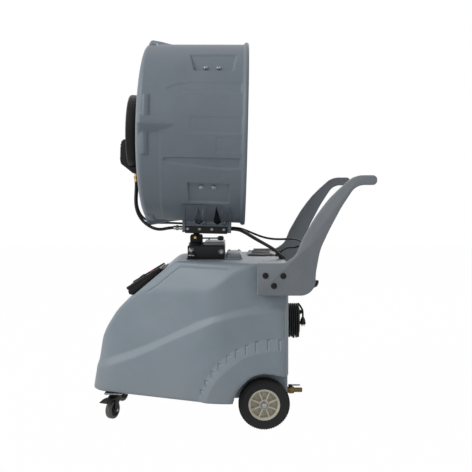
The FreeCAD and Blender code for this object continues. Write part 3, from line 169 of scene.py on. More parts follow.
# ------------------------------------------------------------- materials
def surface(name, colour, second, patch_mm, grain_mm, grain_depth_mm, roughness, spread,
            metallic=0.0, coat=0.0, scuff=None, scuff_mm=(40, 40, 8), specular=0.5, dust=None):
    """A finish in three scales: broad patches of colour, fine grain, and thin scuffs where it has been handled."""
    made = bpy.data.materials.new(name)
    made.use_nodes = True
    tree = made.node_tree
    tree.nodes.clear()
    here = add(tree, "ShaderNodeTexCoord").outputs["Object"]
    patches = add(tree, "ShaderNodeTexNoise", Vector=here, Scale=1 / (patch_mm * MM), Detail=4.0, Roughness=0.55)
    ramp = add(tree, "ShaderNodeMapRange", Value=patches.outputs["Fac"],
               From_Min=0.32, From_Max=0.68, To_Min=0.0, To_Max=1.0)
    tint = add(tree, "ShaderNodeMix", {"data_type": "RGBA"},
               _0=ramp.outputs[0], _6=linear(colour), _7=linear(second)).outputs[2]
    grain = add(tree, "ShaderNodeTexNoise", Vector=here, Scale=1 / (grain_mm * MM), Detail=2.0)
    rough = add(tree, "ShaderNodeMapRange", Value=patches.outputs["Fac"], From_Min=0.25, From_Max=0.75,
                To_Min=roughness - spread, To_Max=roughness + spread).outputs[0]
    if scuff:
        stretch = add(tree, "ShaderNodeMapping", Vector=here, Scale=[1 / (s * MM) for s in scuff_mm])
        marks = add(tree, "ShaderNodeTexNoise", Vector=stretch.outputs[0], Scale=1.0, Detail=6.0, Roughness=0.7)
        share = add(tree, "ShaderNodeMapRange", Value=marks.outputs["Fac"],
                    From_Min=0.60, From_Max=0.78, To_Min=0.0, To_Max=0.45)
        tint = add(tree, "ShaderNodeMix", {"data_type": "RGBA"},
                   _0=share.outputs[0], _6=tint, _7=linear(scuff)).outputs[2]
    if dust:
        height = add(tree, "ShaderNodeSeparateXYZ", Vector=here).outputs["Z"]
        low = add(tree, "ShaderNodeMapRange", Value=height, From_Min=0.10, From_Max=0.24, To_Min=0.5, To_Max=0.0)
        share = add(tree, "ShaderNodeMath", {"operation": "MULTIPLY"},
                    _0=low.outputs[0], _1=patches.outputs["Fac"])
        tint = add(tree, "ShaderNodeMix", {"data_type": "RGBA"},
                   _0=share.outputs[0], _6=tint, _7=linear(dust)).outputs[2]
    bump = add(tree, "ShaderNodeBump", Height=grain.outputs["Fac"], Distance=grain_depth_mm * MM, Strength=0.6)
    shader = add(tree, "ShaderNodeBsdfPrincipled", Base_Color=tint, Roughness=rough,
                 Metallic=metallic, Normal=bump.outputs[0])
    shader.inputs["Coat Weight"].default_value = coat
    shader.inputs["Specular IOR Level"].default_value = specular
    add(tree, "ShaderNodeOutputMaterial", Surface=shader.outputs[0])
    return made


# Rotomoulded polyethylene: a satin skin with a soft orange peel from the mould, and faint paler rub marks.
TANK_POLY = surface("rotomoulded_polyethylene_tank", "#7B868E", "#838D95", 160, 2.2, 0.22, 0.46, 0.07,
                    scuff="#8F989F", scuff_mm=(70, 70, 30), dust="#8B8F8F", specular=0.42)
# The drum is the same plastic from a darker batch, so its patches are closer to slate.
DRUM_POLY = surface("rotomoulded_polyethylene_drum", "#68717A", "#6F7880", 150, 2.2, 0.22, 0.48, 0.06,
                    scuff="#7C868D", scuff_mm=(60, 60, 40), specular=0.42)
# The arms are injection moulded with a fine spark-eroded texture, a little browner than the tank.
ARM_PLASTIC = surface("textured_polypropylene_arm", "#777D82", "#7F8489", 90, 1.1, 0.16, 0.55, 0.06,
                      scuff="#8F9496", scuff_mm=(20, 20, 50), specular=0.35)
# The filler lid is a separate ABS moulding, coloured a darker brownish grey than the tank.
LID_ABS = surface("moulded_abs_lid", "#5B5B5C", "#636261", 60, 1.2, 0.12, 0.5, 0.06, scuff="#7B7A77")
# Powder coat on folded steel: near black, with the fine pimples of the cured powder.
BLACK_STEEL = surface("powder_coated_steel_black", "#101113", "#151618", 40, 1.4, 0.12, 0.5, 0.08,
                      scuff="#2E2F32", scuff_mm=(12, 12, 30), specular=0.25)
# Grey enamelled sheet over the pedestal: smoother than powder coat, slightly glossy.
GREY_STEEL = surface("enamelled_steel_grey", "#686C6F", "#707477", 50, 3.0, 0.05, 0.36, 0.06, scuff="#9A9C9C")
# Zinc plate has a dull silver look with a soft clouding.
ZINC = surface("zinc_plated_steel", "#A9ABAC", "#8F9294", 9, 0.9, 0.02, 0.34, 0.08, metallic=1.0)
# Turned brass, tarnished a little in its hollows.
BRASS = surface("turned_brass", "#C9A765", "#A98B52", 8, 0.7, 0.02, 0.30, 0.07, metallic=1.0)
# Cast brass of the drain valve: brown where it has stood in the wet.
DARK_BRASS = surface("cast_brass_dull", "#6E5E3F", "#5A4D35", 8, 0.9, 0.04, 0.5, 0.08, metallic=1.0)
# Nickel plate on the hose coupling: bright and clean.
NICKEL = surface("nickel_plated_brass", "#C3C1BA", "#AEADA8", 10, 0.8, 0.015, 0.22, 0.06, metallic=1.0)
# Nylon wheel centre, moulded in cream and slightly yellowed.
RIM_NYLON = surface("moulded_nylon_cream", "#CBC6B5", "#BFBAA9", 30, 1.0, 0.05, 0.45, 0.07, scuff="#8D8877",
                    scuff_mm=(9, 9, 9))
# Solid rubber with the dull bloom and pale dust of a used tyre.
TYRE_RUBBER = surface("moulded_rubber_tyre", "#1A1A1B", "#222223", 26, 1.5, 0.14, 0.72, 0.08,
                      scuff="#4B4A47", scuff_mm=(16, 60, 16), specular=0.3)
# Grey thermoplastic rubber tread of the casters.
CASTER_RUBBER = surface("thermoplastic_rubber_grey", "#4E4D4A", "#5B5955", 16, 0.9, 0.08, 0.62, 0.08,
                        scuff="#77746E", scuff_mm=(8, 24, 8))
# Glass-filled nylon: black, with a dry grain from the fibres.
BLACK_NYLON = surface("glass_filled_nylon_black", "#111113", "#171719", 30, 0.9, 0.1, 0.52, 0.08, scuff="#2C2C2F",
                      specular=0.3)
# ABS shell of the mist head: black and a little shinier than nylon.
MIST_ABS = surface("moulded_abs_black", "#0F0F12", "#141417", 50, 1.3, 0.06, 0.4, 0.07, scuff="#242428",
                   specular=0.25)
# Soft PVC over the hoses and cables: black with a dull gloss.
HOSE_PVC = surface("extruded_pvc_black", "#0F0F11", "#18181A", 14, 1.2, 0.08, 0.38, 0.08, scuff="#2A2A2E",
                   scuff_mm=(6, 6, 30), specular=0.35)
# Rubber jacket of the power lead: flatter than PVC.
LEAD_RUBBER = surface("rubber_jacket_black", "#121212", "#1A1A1A", 12, 1.0, 0.08, 0.55, 0.08, scuff="#2A2A2C",
                      specular=0.3)
# Cast aluminium motor shell under dark grey enamel.
MOTOR_ENAMEL = surface("enamelled_cast_aluminium", "#3D4144", "#46494C", 35, 1.6, 0.12, 0.45, 0.08, scuff="#6A6D70")
# Screen-printed polycarbonate overlay of the control panel.
PANEL_FILM = surface("polycarbonate_panel_film", "#26282B", "#2B2D30", 60, 0.8, 0.03, 0.32, 0.05, coat=0.2)
# Generic dial marks in white ink.
DIAL_INK = surface("screen_printed_white", "#D8D8D4", "#CECECA", 12, 0.6, 0.01, 0.5, 0.05)
# Red polycarbonate of the rotary isolator.
SWITCH_RED = surface("moulded_polycarbonate_red", "#A3231D", "#8E1D19", 14, 0.8, 0.02, 0.34, 0.06)


# ------------------------------------------------------------- shaping helpers
def along(axis, at=(0, 0, 0)):
    """A placement whose X runs along the given direction from the given point."""
    return Matrix.Translation(at) @ Vector(axis).to_track_quat("X", "Z").to_matrix().to_4x4()


def angles(count, first=0.0):
    """Angles evenly round a circle. first is the first one's place, as a share of a step."""
    return [2 * math.pi * (i + first) / count for i in range(count)]


def home(head):
    """From the millimetres that a piece is worked out in to where it stands."""
    return Matrix.Scale(MM, 4) @ (HEAD_PLACE if head else Matrix.Identity(4))


def skin(bm, rings, closed=True, caps=False, loop=False):
    """Quads between rows of points. closed joins each row's ends, loop joins the last row to the first."""
    rows = []
    for ring in rings:
        if len(ring) == 1:
            rows.append([bm.verts.new(ring[0])] * max(len(r) for r in rings))
        else:
            rows.append([bm.verts.new(p) for p in ring])
    pairs = list(zip(rows, rows[1:])) + ([(rows[-1], rows[0])] if loop else [])
    for a, b in pairs:
        last = len(a) if closed else len(a) - 1
        for i in range(last):
            k = (i + 1) % len(a)
            corners = []
            for v in (a[i], a[k], b[k], b[i]):
                if v not in corners:
                    corners.append(v)
            if len(corners) > 2:
                bm.faces.new(corners)
    if caps:
        bm.faces.new(rows[0][::-1])
        bm.faces.new(rows[-1])
    return [v for row in rows for v in row]


def turned(bm, profile, place=Matrix.Identity(4), steps=48):
    """A turned solid about the placement's X. The profile is a list of (distance along, radius)."""
    rings = []
    for reach, radius in profile:
        if radius < 1e-6:
            rings.append([place @ Vector((reach, 0, 0))])
        else:
            rings.append([place @ Vector((reach, radius * math.cos(a), radius * math.sin(a)))
                          for a in angles(steps)])
    skin(bm, rings, loop=len(rings[0]) > 1 or len(rings[-1]) > 1)


def block(bm, low, high, edge=1.5, place=None, segments=3):
    """A block with rounded edges."""
    made = bmesh.ops.create_cube(bm, size=1)["verts"]
    size = [h - l for l, h in zip(low, high)]
    middle = [(h + l) / 2 for l, h in zip(low, high)]
    move = Matrix.Translation(middle) @ Matrix.Diagonal((*size, 1))
    bmesh.ops.transform(bm, matrix=(place or Matrix.Identity(4)) @ move, verts=made)
    if edge:
        edges = list({e for v in made for e in v.link_edges})
        bmesh.ops.bevel(bm, geom=edges, offset=edge, segments=segments, affect="EDGES", profile=0.5)


def slab(bm, outline, start, end, plane="XZ", edge=1.5, place=None):
    """An outline given thickness, with its edges rounded. plane names the two axes that the outline is in."""
    order = {"XZ": lambda u, v, w: (u, w, v), "XY": lambda u, v, w: (u, v, w), "YZ": lambda u, v, w: (w, u, v)}
    put = order[plane]
    base = [bm.verts.new(put(u, v, start)) for u, v in outline]
    over = [bm.verts.new(put(u, v, end)) for u, v in outline]
    faces = [bm.faces.new(base), bm.faces.new(over[::-1])]
    count = len(outline)
    for i in range(count):
        k = (i + 1) % count
        faces.append(bm.faces.new((base[k], base[i], over[i], over[k])))
    bmesh.ops.recalc_face_normals(bm, faces=faces)
    if place:
        bmesh.ops.transform(bm, matrix=place, verts=base + over)
    if edge:
        edges = {e for f in faces[:2] for e in f.edges}
        bmesh.ops.bevel(bm, geom=list(edges), offset=edge, segments=3, affect="EDGES", profile=0.5)


def screw(bm, at, axis, radius, washer=1.45):
    """A socket button screw on a washer."""
    r = radius
    turned(bm, [(0, washer * r), (0.18 * r, washer * r), (0.26 * r, washer * r * 0.96), (0.26 * r, r),
                (0.55 * r, r * 0.97), (0.78 * r, r * 0.82), (0.88 * r, r * 0.55), (0.86 * r, r * 0.46),
                (0.45 * r, r * 0.44), (0.40 * r, 0)], along(axis, at), 24)


def hex_nut(bm, at, axis, across, height, bolt=None):
    """A chamfered hexagon with the bolt's rounded end standing out of it."""
    place = along(axis, at)
    r = across / math.sqrt(3)
    rings = []
    for reach, size in ((0, 0.94), (0.12 * height, 1), (0.86 * height, 1), (height, 0.9)):
        rings.append([place @ Vector((reach, size * r * math.cos(a), size * r * math.sin(a)))
                      for a in angles(6)])
    skin(bm, rings, caps=True)
    if bolt:
        turned(bm, [(height * 0.5, bolt), (height * 1.35, bolt), (height * 1.5, bolt * 0.75),
                    (height * 1.5, 0)], place, 20)


def belongs(made, body, nodes):
    """Rides the object on its body and hides the CAD nodes that it stands in for."""
    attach(made, body)
    if nodes:
        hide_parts(*nodes)
    return made


def piece(bm, name, finish, body, nodes=(), head=False, sharp=38):
    """Puts the shape into the scene as one object that moves with its body."""
    bmesh.ops.recalc_face_normals(bm, faces=bm.faces)
    bmesh.ops.transform(bm, matrix=home(head), verts=bm.verts)
    for face in bm.faces:
        face.smooth = True
    mesh = as_mesh(bm, name)
    mesh.materials.append(finish)
    mesh.set_sharp_from_angle(angle=math.radians(sharp))
    return belongs(placed(name, mesh), body, nodes)


def wires(name, paths, radius, finish, body, nodes=(), head=False):
    """Round bars as one object. Each path is its points and whether it closes on itself."""
    curve = bpy.data.curves.new(name, "CURVE")
    curve.dimensions = "3D"
    curve.bevel_depth = radius * MM
    curve.bevel_resolution = 2
    move = home(head)
    for points, ring in paths:
        line = curve.splines.new("POLY")
        line.points.add(len(points) - 1)
        for spot, point in zip(line.points, points):
            spot.co = (*(move @ Vector(point)), 1)
        line.use_cyclic_u = ring
        line.use_smooth = True
    curve.use_fill_caps = True
    curve.materials.append(finish)
    belongs(placed(name, curve), body, nodes)


def circle(x, radius, steps):
    """Points of a ring about the fan axis."""
    return [(x, radius * math.cos(a), FAN_AXIS + radius * math.sin(a)) for a in angles(steps)]


def corners_of(outline):
    """Each corner with the directions from it to the ones before and after."""
    for i, corner in enumerate(outline):
        here = Vector(corner)
        after = Vector(outline[(i + 1) % len(outline)])
        yield here, (Vector(outline[i - 1]) - here).normalized(), (after - here).normalized()


def box_outline(low, high, radius, steps=5):
    """A rectangle between two corners, with its corners rounded."""
    made = []
    for here, before, after in corners_of([low, (high[0], low[1]), high, (low[0], high[1])]):
        for k in range(steps + 1):
            t = k / steps
            made.append(tuple(here + before * radius * (1 - t) ** 2 + after * radius * t ** 2))
    return made


def arc(centre, radius, first, last, step):
    """Points of an arc, from one angle to another in degrees."""
    return [(centre[0] + radius * math.cos(math.radians(a)), centre[1] + radius * math.sin(math.radians(a)))
            for a in range(first, last, step)]


# ------------------------------------------------------------- hoses and cables
def spline(name, route, diameter):
    """A smooth line through a soft cord's control points."""
    curve = bpy.data.curves.new(name, "CURVE")
    curve.dimensions = "3D"
    curve.bevel_depth = diameter / 2
    curve.bevel_resolution = 4
    curve.resolution_u = 8
    line = curve.splines.new("NURBS")
    line.points.add(len(route) - 1)
    for spot, point in zip(line.points, route):
        spot.co = (*point, 1)
    line.order_u = 3
    line.use_endpoint_u = True
    return curve


def cord(name, route, diameter, length, finish, body, node, **facts):
    """A hose, cable or lead with both ends on one body."""
    curve = spline(name, route, diameter)
    curve.use_fill_caps = True
    curve.materials.append(finish)
    made = belongs(placed(name, curve), body, [node])


def centreline(route):
    """Points along the cord's own spline."""
    bare = placed("line", spline("line", route, 0))
    bare.data.resolution_u = 10
    mesh = bpy.data.meshes.new_from_object(bare)
    points = [v.co.copy() for v in mesh.vertices]
    bpy.data.meshes.remove(mesh)
    bpy.data.objects.remove(bare)
    return points


def run_length(points):
    """Length of a line through the points."""
    return sum((b - a).length for a, b in zip(points, points[1:]))


def tube(name, points, radius, finish):
    """A mesh tube along a line of points."""
    bm = bmesh.new()
    rings = []
    up = Vector((0, 0, 1))
    for i, point in enumerate(points):
        ahead = points[min(i + 1, len(points) - 1)] - points[max(i - 1, 0)]
        side = ahead.cross(up).normalized()
        top = side.cross(ahead).normalized()
        rings.append([point + side * (radius * math.cos(a)) + top * (radius * math.sin(a))
                      for a in angles(20)])
    skin(bm, rings, caps=True)
    bmesh.ops.recalc_face_normals(bm, faces=bm.faces)
    for face in bm.faces:
        face.smooth = True
    mesh = as_mesh(bm, name)
    mesh.materials.append(finish)
    return placed(name, mesh)


def crossing(name, route, diameter, split_x, finish, node):
    """A hose from the head to the deck, made as two tubes that meet where it passes split_x."""
    line = centreline(route)
    cut_at = next(i for i, p in enumerate(line) if p.x > split_x)
    for part, points, bodies in (
        ("", line[:cut_at + 1], ("head", "neck")),
        ("_tail", line[cut_at:], ("neck", "base")),
    ):
        made = tube(name + part, points, diameter / 2, finish)
        if not part:
            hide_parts(node)
        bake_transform(made)


def metres(route):
    """Points in millimetres as points in metres."""
    return [tuple(c * MM for c in p) for p in route]


MIST_HOSE = metres([
    (-387, -18, 975), (-387.8, -18, 942), (-390.5, -18, 907), (-389.5, -19, 872), (-380, -20, 839),
    (-363.5, -20, 813), (-341, -20, 792.5), (-314, -20, 778), (-285, -19, 773.5), (-257, -18, 779.5),
    (-230.4, -18, 782),
])
MIST_CABLE = metres([
    (-386.8, 30, 984.6), (-387.6, 30, 952), (-391, 30, 917), (-391.5, 29, 882), (-383, 28, 848),
    (-364, 27, 820), (-336, 26, 804), (-302, 25, 799.5), (-266, 24.5, 800), (-227, 24, 799),
    (-189.9, 24, 797),
])
REAR_HOSE_A = metres([
    (13.1, -34, 777), (40, -34.5, 776.2), (68, -42, 765), (96, -55, 749), (125, -69, 732),
    (153, -81, 717), (177, -90, 703.5), (196, -94, 691.5), (212.6, -95, 674.4),
])
REAR_HOSE_B = metres([
    (13.1, -10, 776), (41, -10.5, 775), (70, -17, 762), (98, -29, 745.5), (127, -43, 729),
    (154, -55, 715), (178, -63, 701.5), (197, -66.5, 689.5), (212.6, -67, 674.4),
])
LOOP_CABLE = metres([
    (13.1, 14, 780), (44, 13.5, 779.2), (78, 8, 768), (112, -1, 754), (147, -12, 741), (184, -22, 734),
    (222, -27, 733), (256, -29, 735), (289, -24, 732), (314, -1, 720), (314, 32, 703), (288, 53, 691),
    (252, 54, 692), (227.4, 50, 674.4),
])

cord("mist_hose_run", MIST_HOSE, 0.013, 0.313, HOSE_PVC, "head", "mist_hose", far_end="object", lay="hanging")
cord("mist_cable_run", MIST_CABLE, 0.009, 0.349, HOSE_PVC, "head", "mist_cable", far_end="object", lay="hanging")
crossing("rear_hose_near", REAR_HOSE_A, 0.014, 0.110, HOSE_PVC, "rear_hose_a")
crossing("rear_hose_far", REAR_HOSE_B, 0.014, 0.110, HOSE_PVC, "rear_hose_b")
crossing("rear_loop_cable", LOOP_CABLE, 0.009, 0.110, HOSE_PVC, "loop_cable")


# ------------------------------------------------------------- tank
TANK_FLOOR, DECK, BACK_WALL = 110.0, 656.0, 239.0
SLOPE_FOOT, SLOPE_TOP = (-445.5, 462.0), (-213.0, DECK)  # x and z of the ends of the slope under the controls
MOUTH_FLOOR = 560.0  # the filler's well goes down to here
RIBBON_TOP = [(-700, 231), (-528, 236), (-463, 263), (-403, 287), (-321, 322), (-242, 360), (-180, 395),
              (-116, 429), (-56, 451), (2, 467), (60, 481), (122, 493), (180, 498), (300, 498)]
RIBBON_FOOT = [(-700, 205), (-532, 207), (-483, 221), (-428, 242), (-370, 265), (-304, 299), (-242, 333),
               (-180, 364), (-116, 394), (-56, 424), (2, 443), (60, 456), (122, 464), (180, 469), (300, 470)]
FENDER_OUT = [(-114, 100), (-114, 113), (-102, 158), (-88, 195), (-72, 223), (-56, 249), (-33, 275), (-10, 299),
              (25, 322), (64, 339.5), (103, 353), (142, 363), (184, 368), (260, 369)]
FENDER_IN = [(-78, 100), (-76, 118), (-68, 150), (-56, 178), (-41, 203), (-21, 227), (6, 252), (33, 274),
             (60, 291), (91, 304), (134, 314), (180, 321), (260, 322)]
# Upper end and length of each louvre mark along the fender.
LOUVRES = [(200, 365, 38), (157, 365, 38), (111, 357, 36), (72, 343, 34), (33, 326, 32), (-2, 303, 30),
           (-33, 272, 27), (-60, 240, 24), (-84, 203, 22), (-100, 166, 20)]
FACET_LINE = [(-370, 494), (-335, 521), (-293, 551), (-231, 602), (-198, 629), (-190, 635), (-150, 635.5),
              (-69, 635), (2, 635)]
HUB = (200.0, 100.0)  # middle of the fender's sweep
ARCH_RADIUS = 127.0


def blend_max(a, b, width):
    """The larger of two distances, rounded over where they meet."""
    near = np.maximum(width - np.abs(a - b), 0) / width
    return np.maximum(a, b) + width * near * near / 4


def lean(x, z, foot, top):
    """Distance above the line from foot to top, seen from the side."""
    run, rise = top[0] - foot[0], top[1] - foot[1]
    return (-rise * (x - foot[0]) + run * (z - foot[1])) / math.hypot(run, rise)


def facet(a, b, c):
    """Unit normal and offset of the plane through three points, facing up."""
    normal = np.cross(np.subtract(b, a), np.subtract(c, a)).astype(float)
    normal /= np.linalg.norm(normal) * (1 if normal[2] > 0 else -1)
    return normal, float(normal @ np.array(a, float))


# Where the creases of the tank's shoulders meet: each shoulder is three flat facets.
LOW_POINT, MID_POINT, SIDE_POINT, REAR_POINT, FRONT_POINT = (
    (-407, 160, 456), (-100, 271, 576), (-45, 287, 597), (118, 288, 656), (-213, 192, 656))
HIPS = [facet(LOW_POINT, MID_POINT, FRONT_POINT), facet(MID_POINT, SIDE_POINT, FRONT_POINT),
        facet(SIDE_POINT, REAR_POINT, FRONT_POINT)]


def tank_gap(points):
    """How far each point is outside the tank, in millimetres."""
    x, y, z = points[:, 0], points[:, 1], points[:, 2]
    w = np.abs(y)
    t = (z - TANK_FLOOR) / (DECK - TANK_FLOOR)
    # The nose wall leans back and swells a little in its middle.
    crown = 9.0 * np.clip(1 - (w / 150) ** 2, 0, 1)
    front = lean(x, z, (-555, TANK_FLOOR), (-475, DECK)) - crown * np.clip(1 - t, 0, 1)
    # The bow walls run from the nose's corners to the side walls, which lean in towards the deck.
    corner_x, corner_y, side_y = -555 + 80 * t, 126 - 37 * t, 325 - 37 * t
    run, rise = -53 - corner_x, side_y - corner_y
    bow = (run * (w - corner_y) - rise * (x - corner_x)) / np.hypot(run, rise)
    wall = blend_max(blend_max(front, bow, 46.0), w - side_y, 20.0)
    wall = blend_max(wall, x - BACK_WALL, 44.0)
    body = blend_max(wall, lean(x, z, (-517, 358), (-449, 461)), 16.0)
    body = blend_max(body, lean(x, z, SLOPE_FOOT, SLOPE_TOP), 12.0)
    hips = [n[0] * x + n[1] * w + n[2] * z - o for n, o in HIPS]
    body = blend_max(body, blend_max(blend_max(hips[0], hips[1], 26.0), hips[2], 26.0), 3.5)
    body = blend_max(body, z - DECK, 15.0)
    body = blend_max(body, TANK_FLOOR - z, 17.0)
    # The wheel arches are open towards the back.
    ring = np.hypot(x - AXLE.x, z - AXLE.z) - ARCH_RADIUS
    open_rear = np.maximum(AXLE.x - x, z - 213.0)
    arch = -blend_max(-ring, -open_rear, 24.0)
    arch = blend_max(arch, 238.0 - w, 12.0)
    body = blend_max(body, -arch, 9.0)
    mouth = np.maximum(np.abs(x - 142) - 42, np.abs(y - 118) - 58)
    mouth = blend_max(mouth, MOUTH_FLOOR - z, 12.0)
    return blend_max(body, -mouth, 5.0)


def slope_of(field, points, step=0.5):
    """The direction in which a field grows fastest."""
    grown = np.empty_like(points)
    for axis in range(3):
        ahead, behind = points.copy(), points.copy()
        ahead[:, axis] += step
        behind[:, axis] -= step
        grown[:, axis] = field(ahead) - field(behind)
    return grown / np.maximum(np.linalg.norm(grown, axis=1, keepdims=True), 1e-9)


def settle(points, field, rounds=8):
    """Moves points onto the field's zero surface."""
    for _ in range(rounds):
        away = field(points)
        points = points - slope_of(field, points) * np.clip(away, -6, 6)[:, None]
    return points


def soft_step(value):
    """0 to 1 with an easy start and end."""
    value = np.clip(value, 0, 1)
    return value * value * (3 - 2 * value)


def near_line(x, z, line):
    """Distance of each (x, z) from a run of straight pieces."""
    best = np.full(x.shape, 1e9)
    for (x0, z0), (x1, z1) in zip(line, line[1:]):
        dx, dz = x1 - x0, z1 - z0
        share = np.clip(((x - x0) * dx + (z - z0) * dz) / (dx * dx + dz * dz), 0, 1)
        best = np.minimum(best, np.hypot(x - x0 - share * dx, z - z0 - share * dz))
    return best


def fender_share(x, z):
    """0 at the fender's outer edge, 1 at its inner edge and inside it."""
    angle = np.arctan2(z - HUB[1], HUB[0] - x)
    reach = np.hypot(x - HUB[0], z - HUB[1])
    edges = []
    for line in (FENDER_OUT, FENDER_IN):
        turn = [math.atan2(b - HUB[1], HUB[0] - a) for a, b in line]
        size = [math.hypot(a - HUB[0], b - HUB[1]) for a, b in line]
        edges.append(np.interp(angle, turn, size))
    return (edges[0] - reach) / np.maximum(edges[0] - edges[1], 1)


def tank_relief(points, normals):
    """How far the ribbon, the fender and its louvre marks stand out of the plain wall."""
    x, z = points[:, 0], points[:, 2]
    upright = soft_step((0.75 - np.abs(normals[:, 2])) / 0.4)
    top = np.interp(x, *zip(*RIBBON_TOP))
    foot = np.interp(x, *zip(*RIBBON_FOOT))
    ramp = np.clip((top - z) / (top - foot), 0, 1)
    ramp = 0.75 * ramp + 0.25 * soft_step(ramp)
    nose = soft_step((-470 - x) / 60)
    proud = 12.5 - 7.0 * nose
    height = ramp * proud - 2.5
    outside = np.abs(points[:, 1]) > 240
    share = fender_share(x, z)
    stripe = np.clip(share, 0, 1)
    on_side = soft_step((np.abs(points[:, 1]) - 262) / 14) * (x < 236)
    height += 14.0 * (0.8 * stripe + 0.2 * soft_step(stripe)) * on_side
    for mark_x, mark_z, length in LOUVRES:
        cut = near_line(x, z, [(mark_x + 9, mark_z - 3), (mark_x, mark_z - 3), (mark_x, mark_z - length)])
        height -= 4.6 * np.exp(-(cut / 2.3) ** 2) * on_side * outside
        lit = near_line(x, z, [(mark_x + 4.4, mark_z - 6), (mark_x + 4.4, mark_z - length)])
        height += 1.6 * np.exp(-(lit / 2.2) ** 2) * on_side * outside
    panel = near_line(x, z, FACET_LINE)
    slanted = soft_step((np.abs(normals[:, 2]) - 0.12) / 0.1) * (np.abs(points[:, 1]) > 100)
    rear = 1 - soft_step((normals[:, 0] - 0.35) / 0.4)
    return height * upright * rear, -2.6 * np.exp(-(panel / 2.6) ** 2) * slanted * (np.abs(normals[:, 2]) < 0.9)


def shaped(blank, cutters, voxel):
    """A closed shape with its hollows cut and its skin divided evenly, as faces and points."""
    for cutter in cutters:
        away = blank.modifiers.new("cut", "BOOLEAN")
        away.operation = "DIFFERENCE"
        away.solver = "EXACT"
        away.object = cutter
    even = blank.modifiers.new("skin", "REMESH")
    even.mode = "VOXEL"
    even.voxel_size = voxel
    mesh = bpy.data.meshes.new_from_object(blank.evaluated_get(bpy.context.evaluated_depsgraph_get()))
    for used in [blank] + cutters:
        bpy.data.objects.remove(used)
    return mesh


def loose_object(bm, name):
    """The shape as an object in its own millimetres, for cutting with."""
    bmesh.ops.recalc_face_normals(bm, faces=bm.faces)
    return placed(name, as_mesh(bm, name))


def coordinates(mesh):
    """The mesh's points as rows of x, y and z."""
    flat = np.empty(len(mesh.vertices) * 3)
    mesh.vertices.foreach_get("co", flat)
    return flat.reshape(-1, 3)


def finish_skin(mesh, name, points, finish, body, nodes):
    """Puts worked points back on their mesh and the mesh into the scene."""
    mesh.vertices.foreach_set("co", points.ravel())
    mesh.transform(home(False))
    mesh.update()
    mesh.name = name
    mesh.materials.clear()
    mesh.materials.append(finish)
    mesh.shade_smooth()
    belongs(placed(name, mesh), body, nodes)


def tank():
    """The water tank: rounded wedge with two hips a side, wheel arches, a ribbon step and louvred fenders."""
    bm = bmesh.new()
    plan = [(-567, 128), (-57, 326), (240, 326), (240, -326), (-57, -326), (-567, -128)]
    slab(bm, plan, TANK_FLOOR, DECK, "XY", edge=0)
    cuts = [((-517, 0, 358), (-103, 0, 68)), ((SLOPE_FOOT[0], 0, SLOPE_FOOT[1]), (-194, 0, 232.5))]
    for n, o in HIPS:
        cuts += [(n * o, n), (n * o * np.array((1, -1, 1)), n * np.array((1, -1, 1)))]
    for spot, facing in cuts:
        geometry = bm.verts[:] + bm.edges[:] + bm.faces[:]
        found = bmesh.ops.bisect_plane(bm, geom=geometry, plane_co=spot, plane_no=facing, clear_outer=True)
        edges = [g for g in found["geom_cut"] if isinstance(g, bmesh.types.BMEdge)]
        bmesh.ops.contextual_create(bm, geom=edges)
    blank = loose_object(bm, "tank_blank")
    cutters = []
    arch = [(300, 213)] + arc((AXLE.x, AXLE.z), ARCH_RADIUS, 62, 181, 5) + [(16.7, 60), (300, 60)]
    for low, high in ((238, 400), (-400, -238)):
        bm = bmesh.new()
        slab(bm, arch, low, high, "XZ", edge=0)
        cutters.append(loose_object(bm, "arch_cutter"))
    bm = bmesh.new()
    block(bm, (100, 60, MOUTH_FLOOR), (184, 176, 700), edge=0)
    cutters.append(loose_object(bm, "mouth_cutter"))
    mesh = shaped(blank, cutters, 5.0)

    points = settle(coordinates(mesh), tank_gap)
    mesh.vertices.foreach_set("co", points.ravel())
    bm = bmesh.new()
    bm.from_mesh(mesh)
    fine = []
    for face in bm.faces:
        spot = face.calc_center_median()
        if abs(spot.y) < 100 or spot.z < 112:
            continue
        x, z = np.array([spot.x]), np.array([spot.z])
        share = fender_share(x, z)[0]
        on_fender = -0.25 < share < 1.25 and z[0] < 380 and abs(spot.y) > 262
        on_facet = spot.z > 480 and near_line(x, z, FACET_LINE)[0] < 9
        if on_fender or on_facet:
            fine.append(face)
    edges = list({e for f in fine for e in f.edges})
    bmesh.ops.subdivide_edges(bm, edges=edges, cuts=1, use_grid_fill=True)
    bm.to_mesh(mesh)
    bm.free()
    points = settle(coordinates(mesh), tank_gap, 5)
    normals = slope_of(tank_gap, points)
    along_wall, into_panel = tank_relief(points, normals)
    level = normals.copy()
    level[:, 2] = 0
    level /= np.maximum(np.linalg.norm(level, axis=1, keepdims=True), 1e-6)
    points = points + level * along_wall[:, None] + normals * into_panel[:, None]
    finish_skin(mesh, "tank_body", points, TANK_POLY, "base", ["tank_shell"])


tank()


# ------------------------------------------------------------- drum
BARREL = [(-363, 289), (-361, 300), (-358, 318), (-354, 336), (-349, 350), (-342, 359), (-334, 362), (44, 370),
          (48, 371), (51, 376), (56, 378.5), (64, 378.5), (68, 375), (68, 365)]
DRUM_RADIUS, DRUM_WALL = 370.0, 8.0
# x along the axis, middle of the keel (degrees up from the near side), half width, height.
KEEL = [(-353, 1.9, 6.8, 26), (-336, 1.9, 6.3, 27), (-299, 1.6, 5.2, 20), (-268, 1.6, 4.2, 12), (-240, 1.7, 3.0, 6),
        (-222, 1.8, 2.0, 3), (-205, 2.0, 0.6, 0.4), (-198, 2.0, 0.1, 0)]
BARS = [(-336, -306, 5.5, 19.6), (-335, -309, -16.4, -1.0)]
POCKET_LOW, POCKET_HIGH = (-50.3, -34.6), (37.6, 52.8)
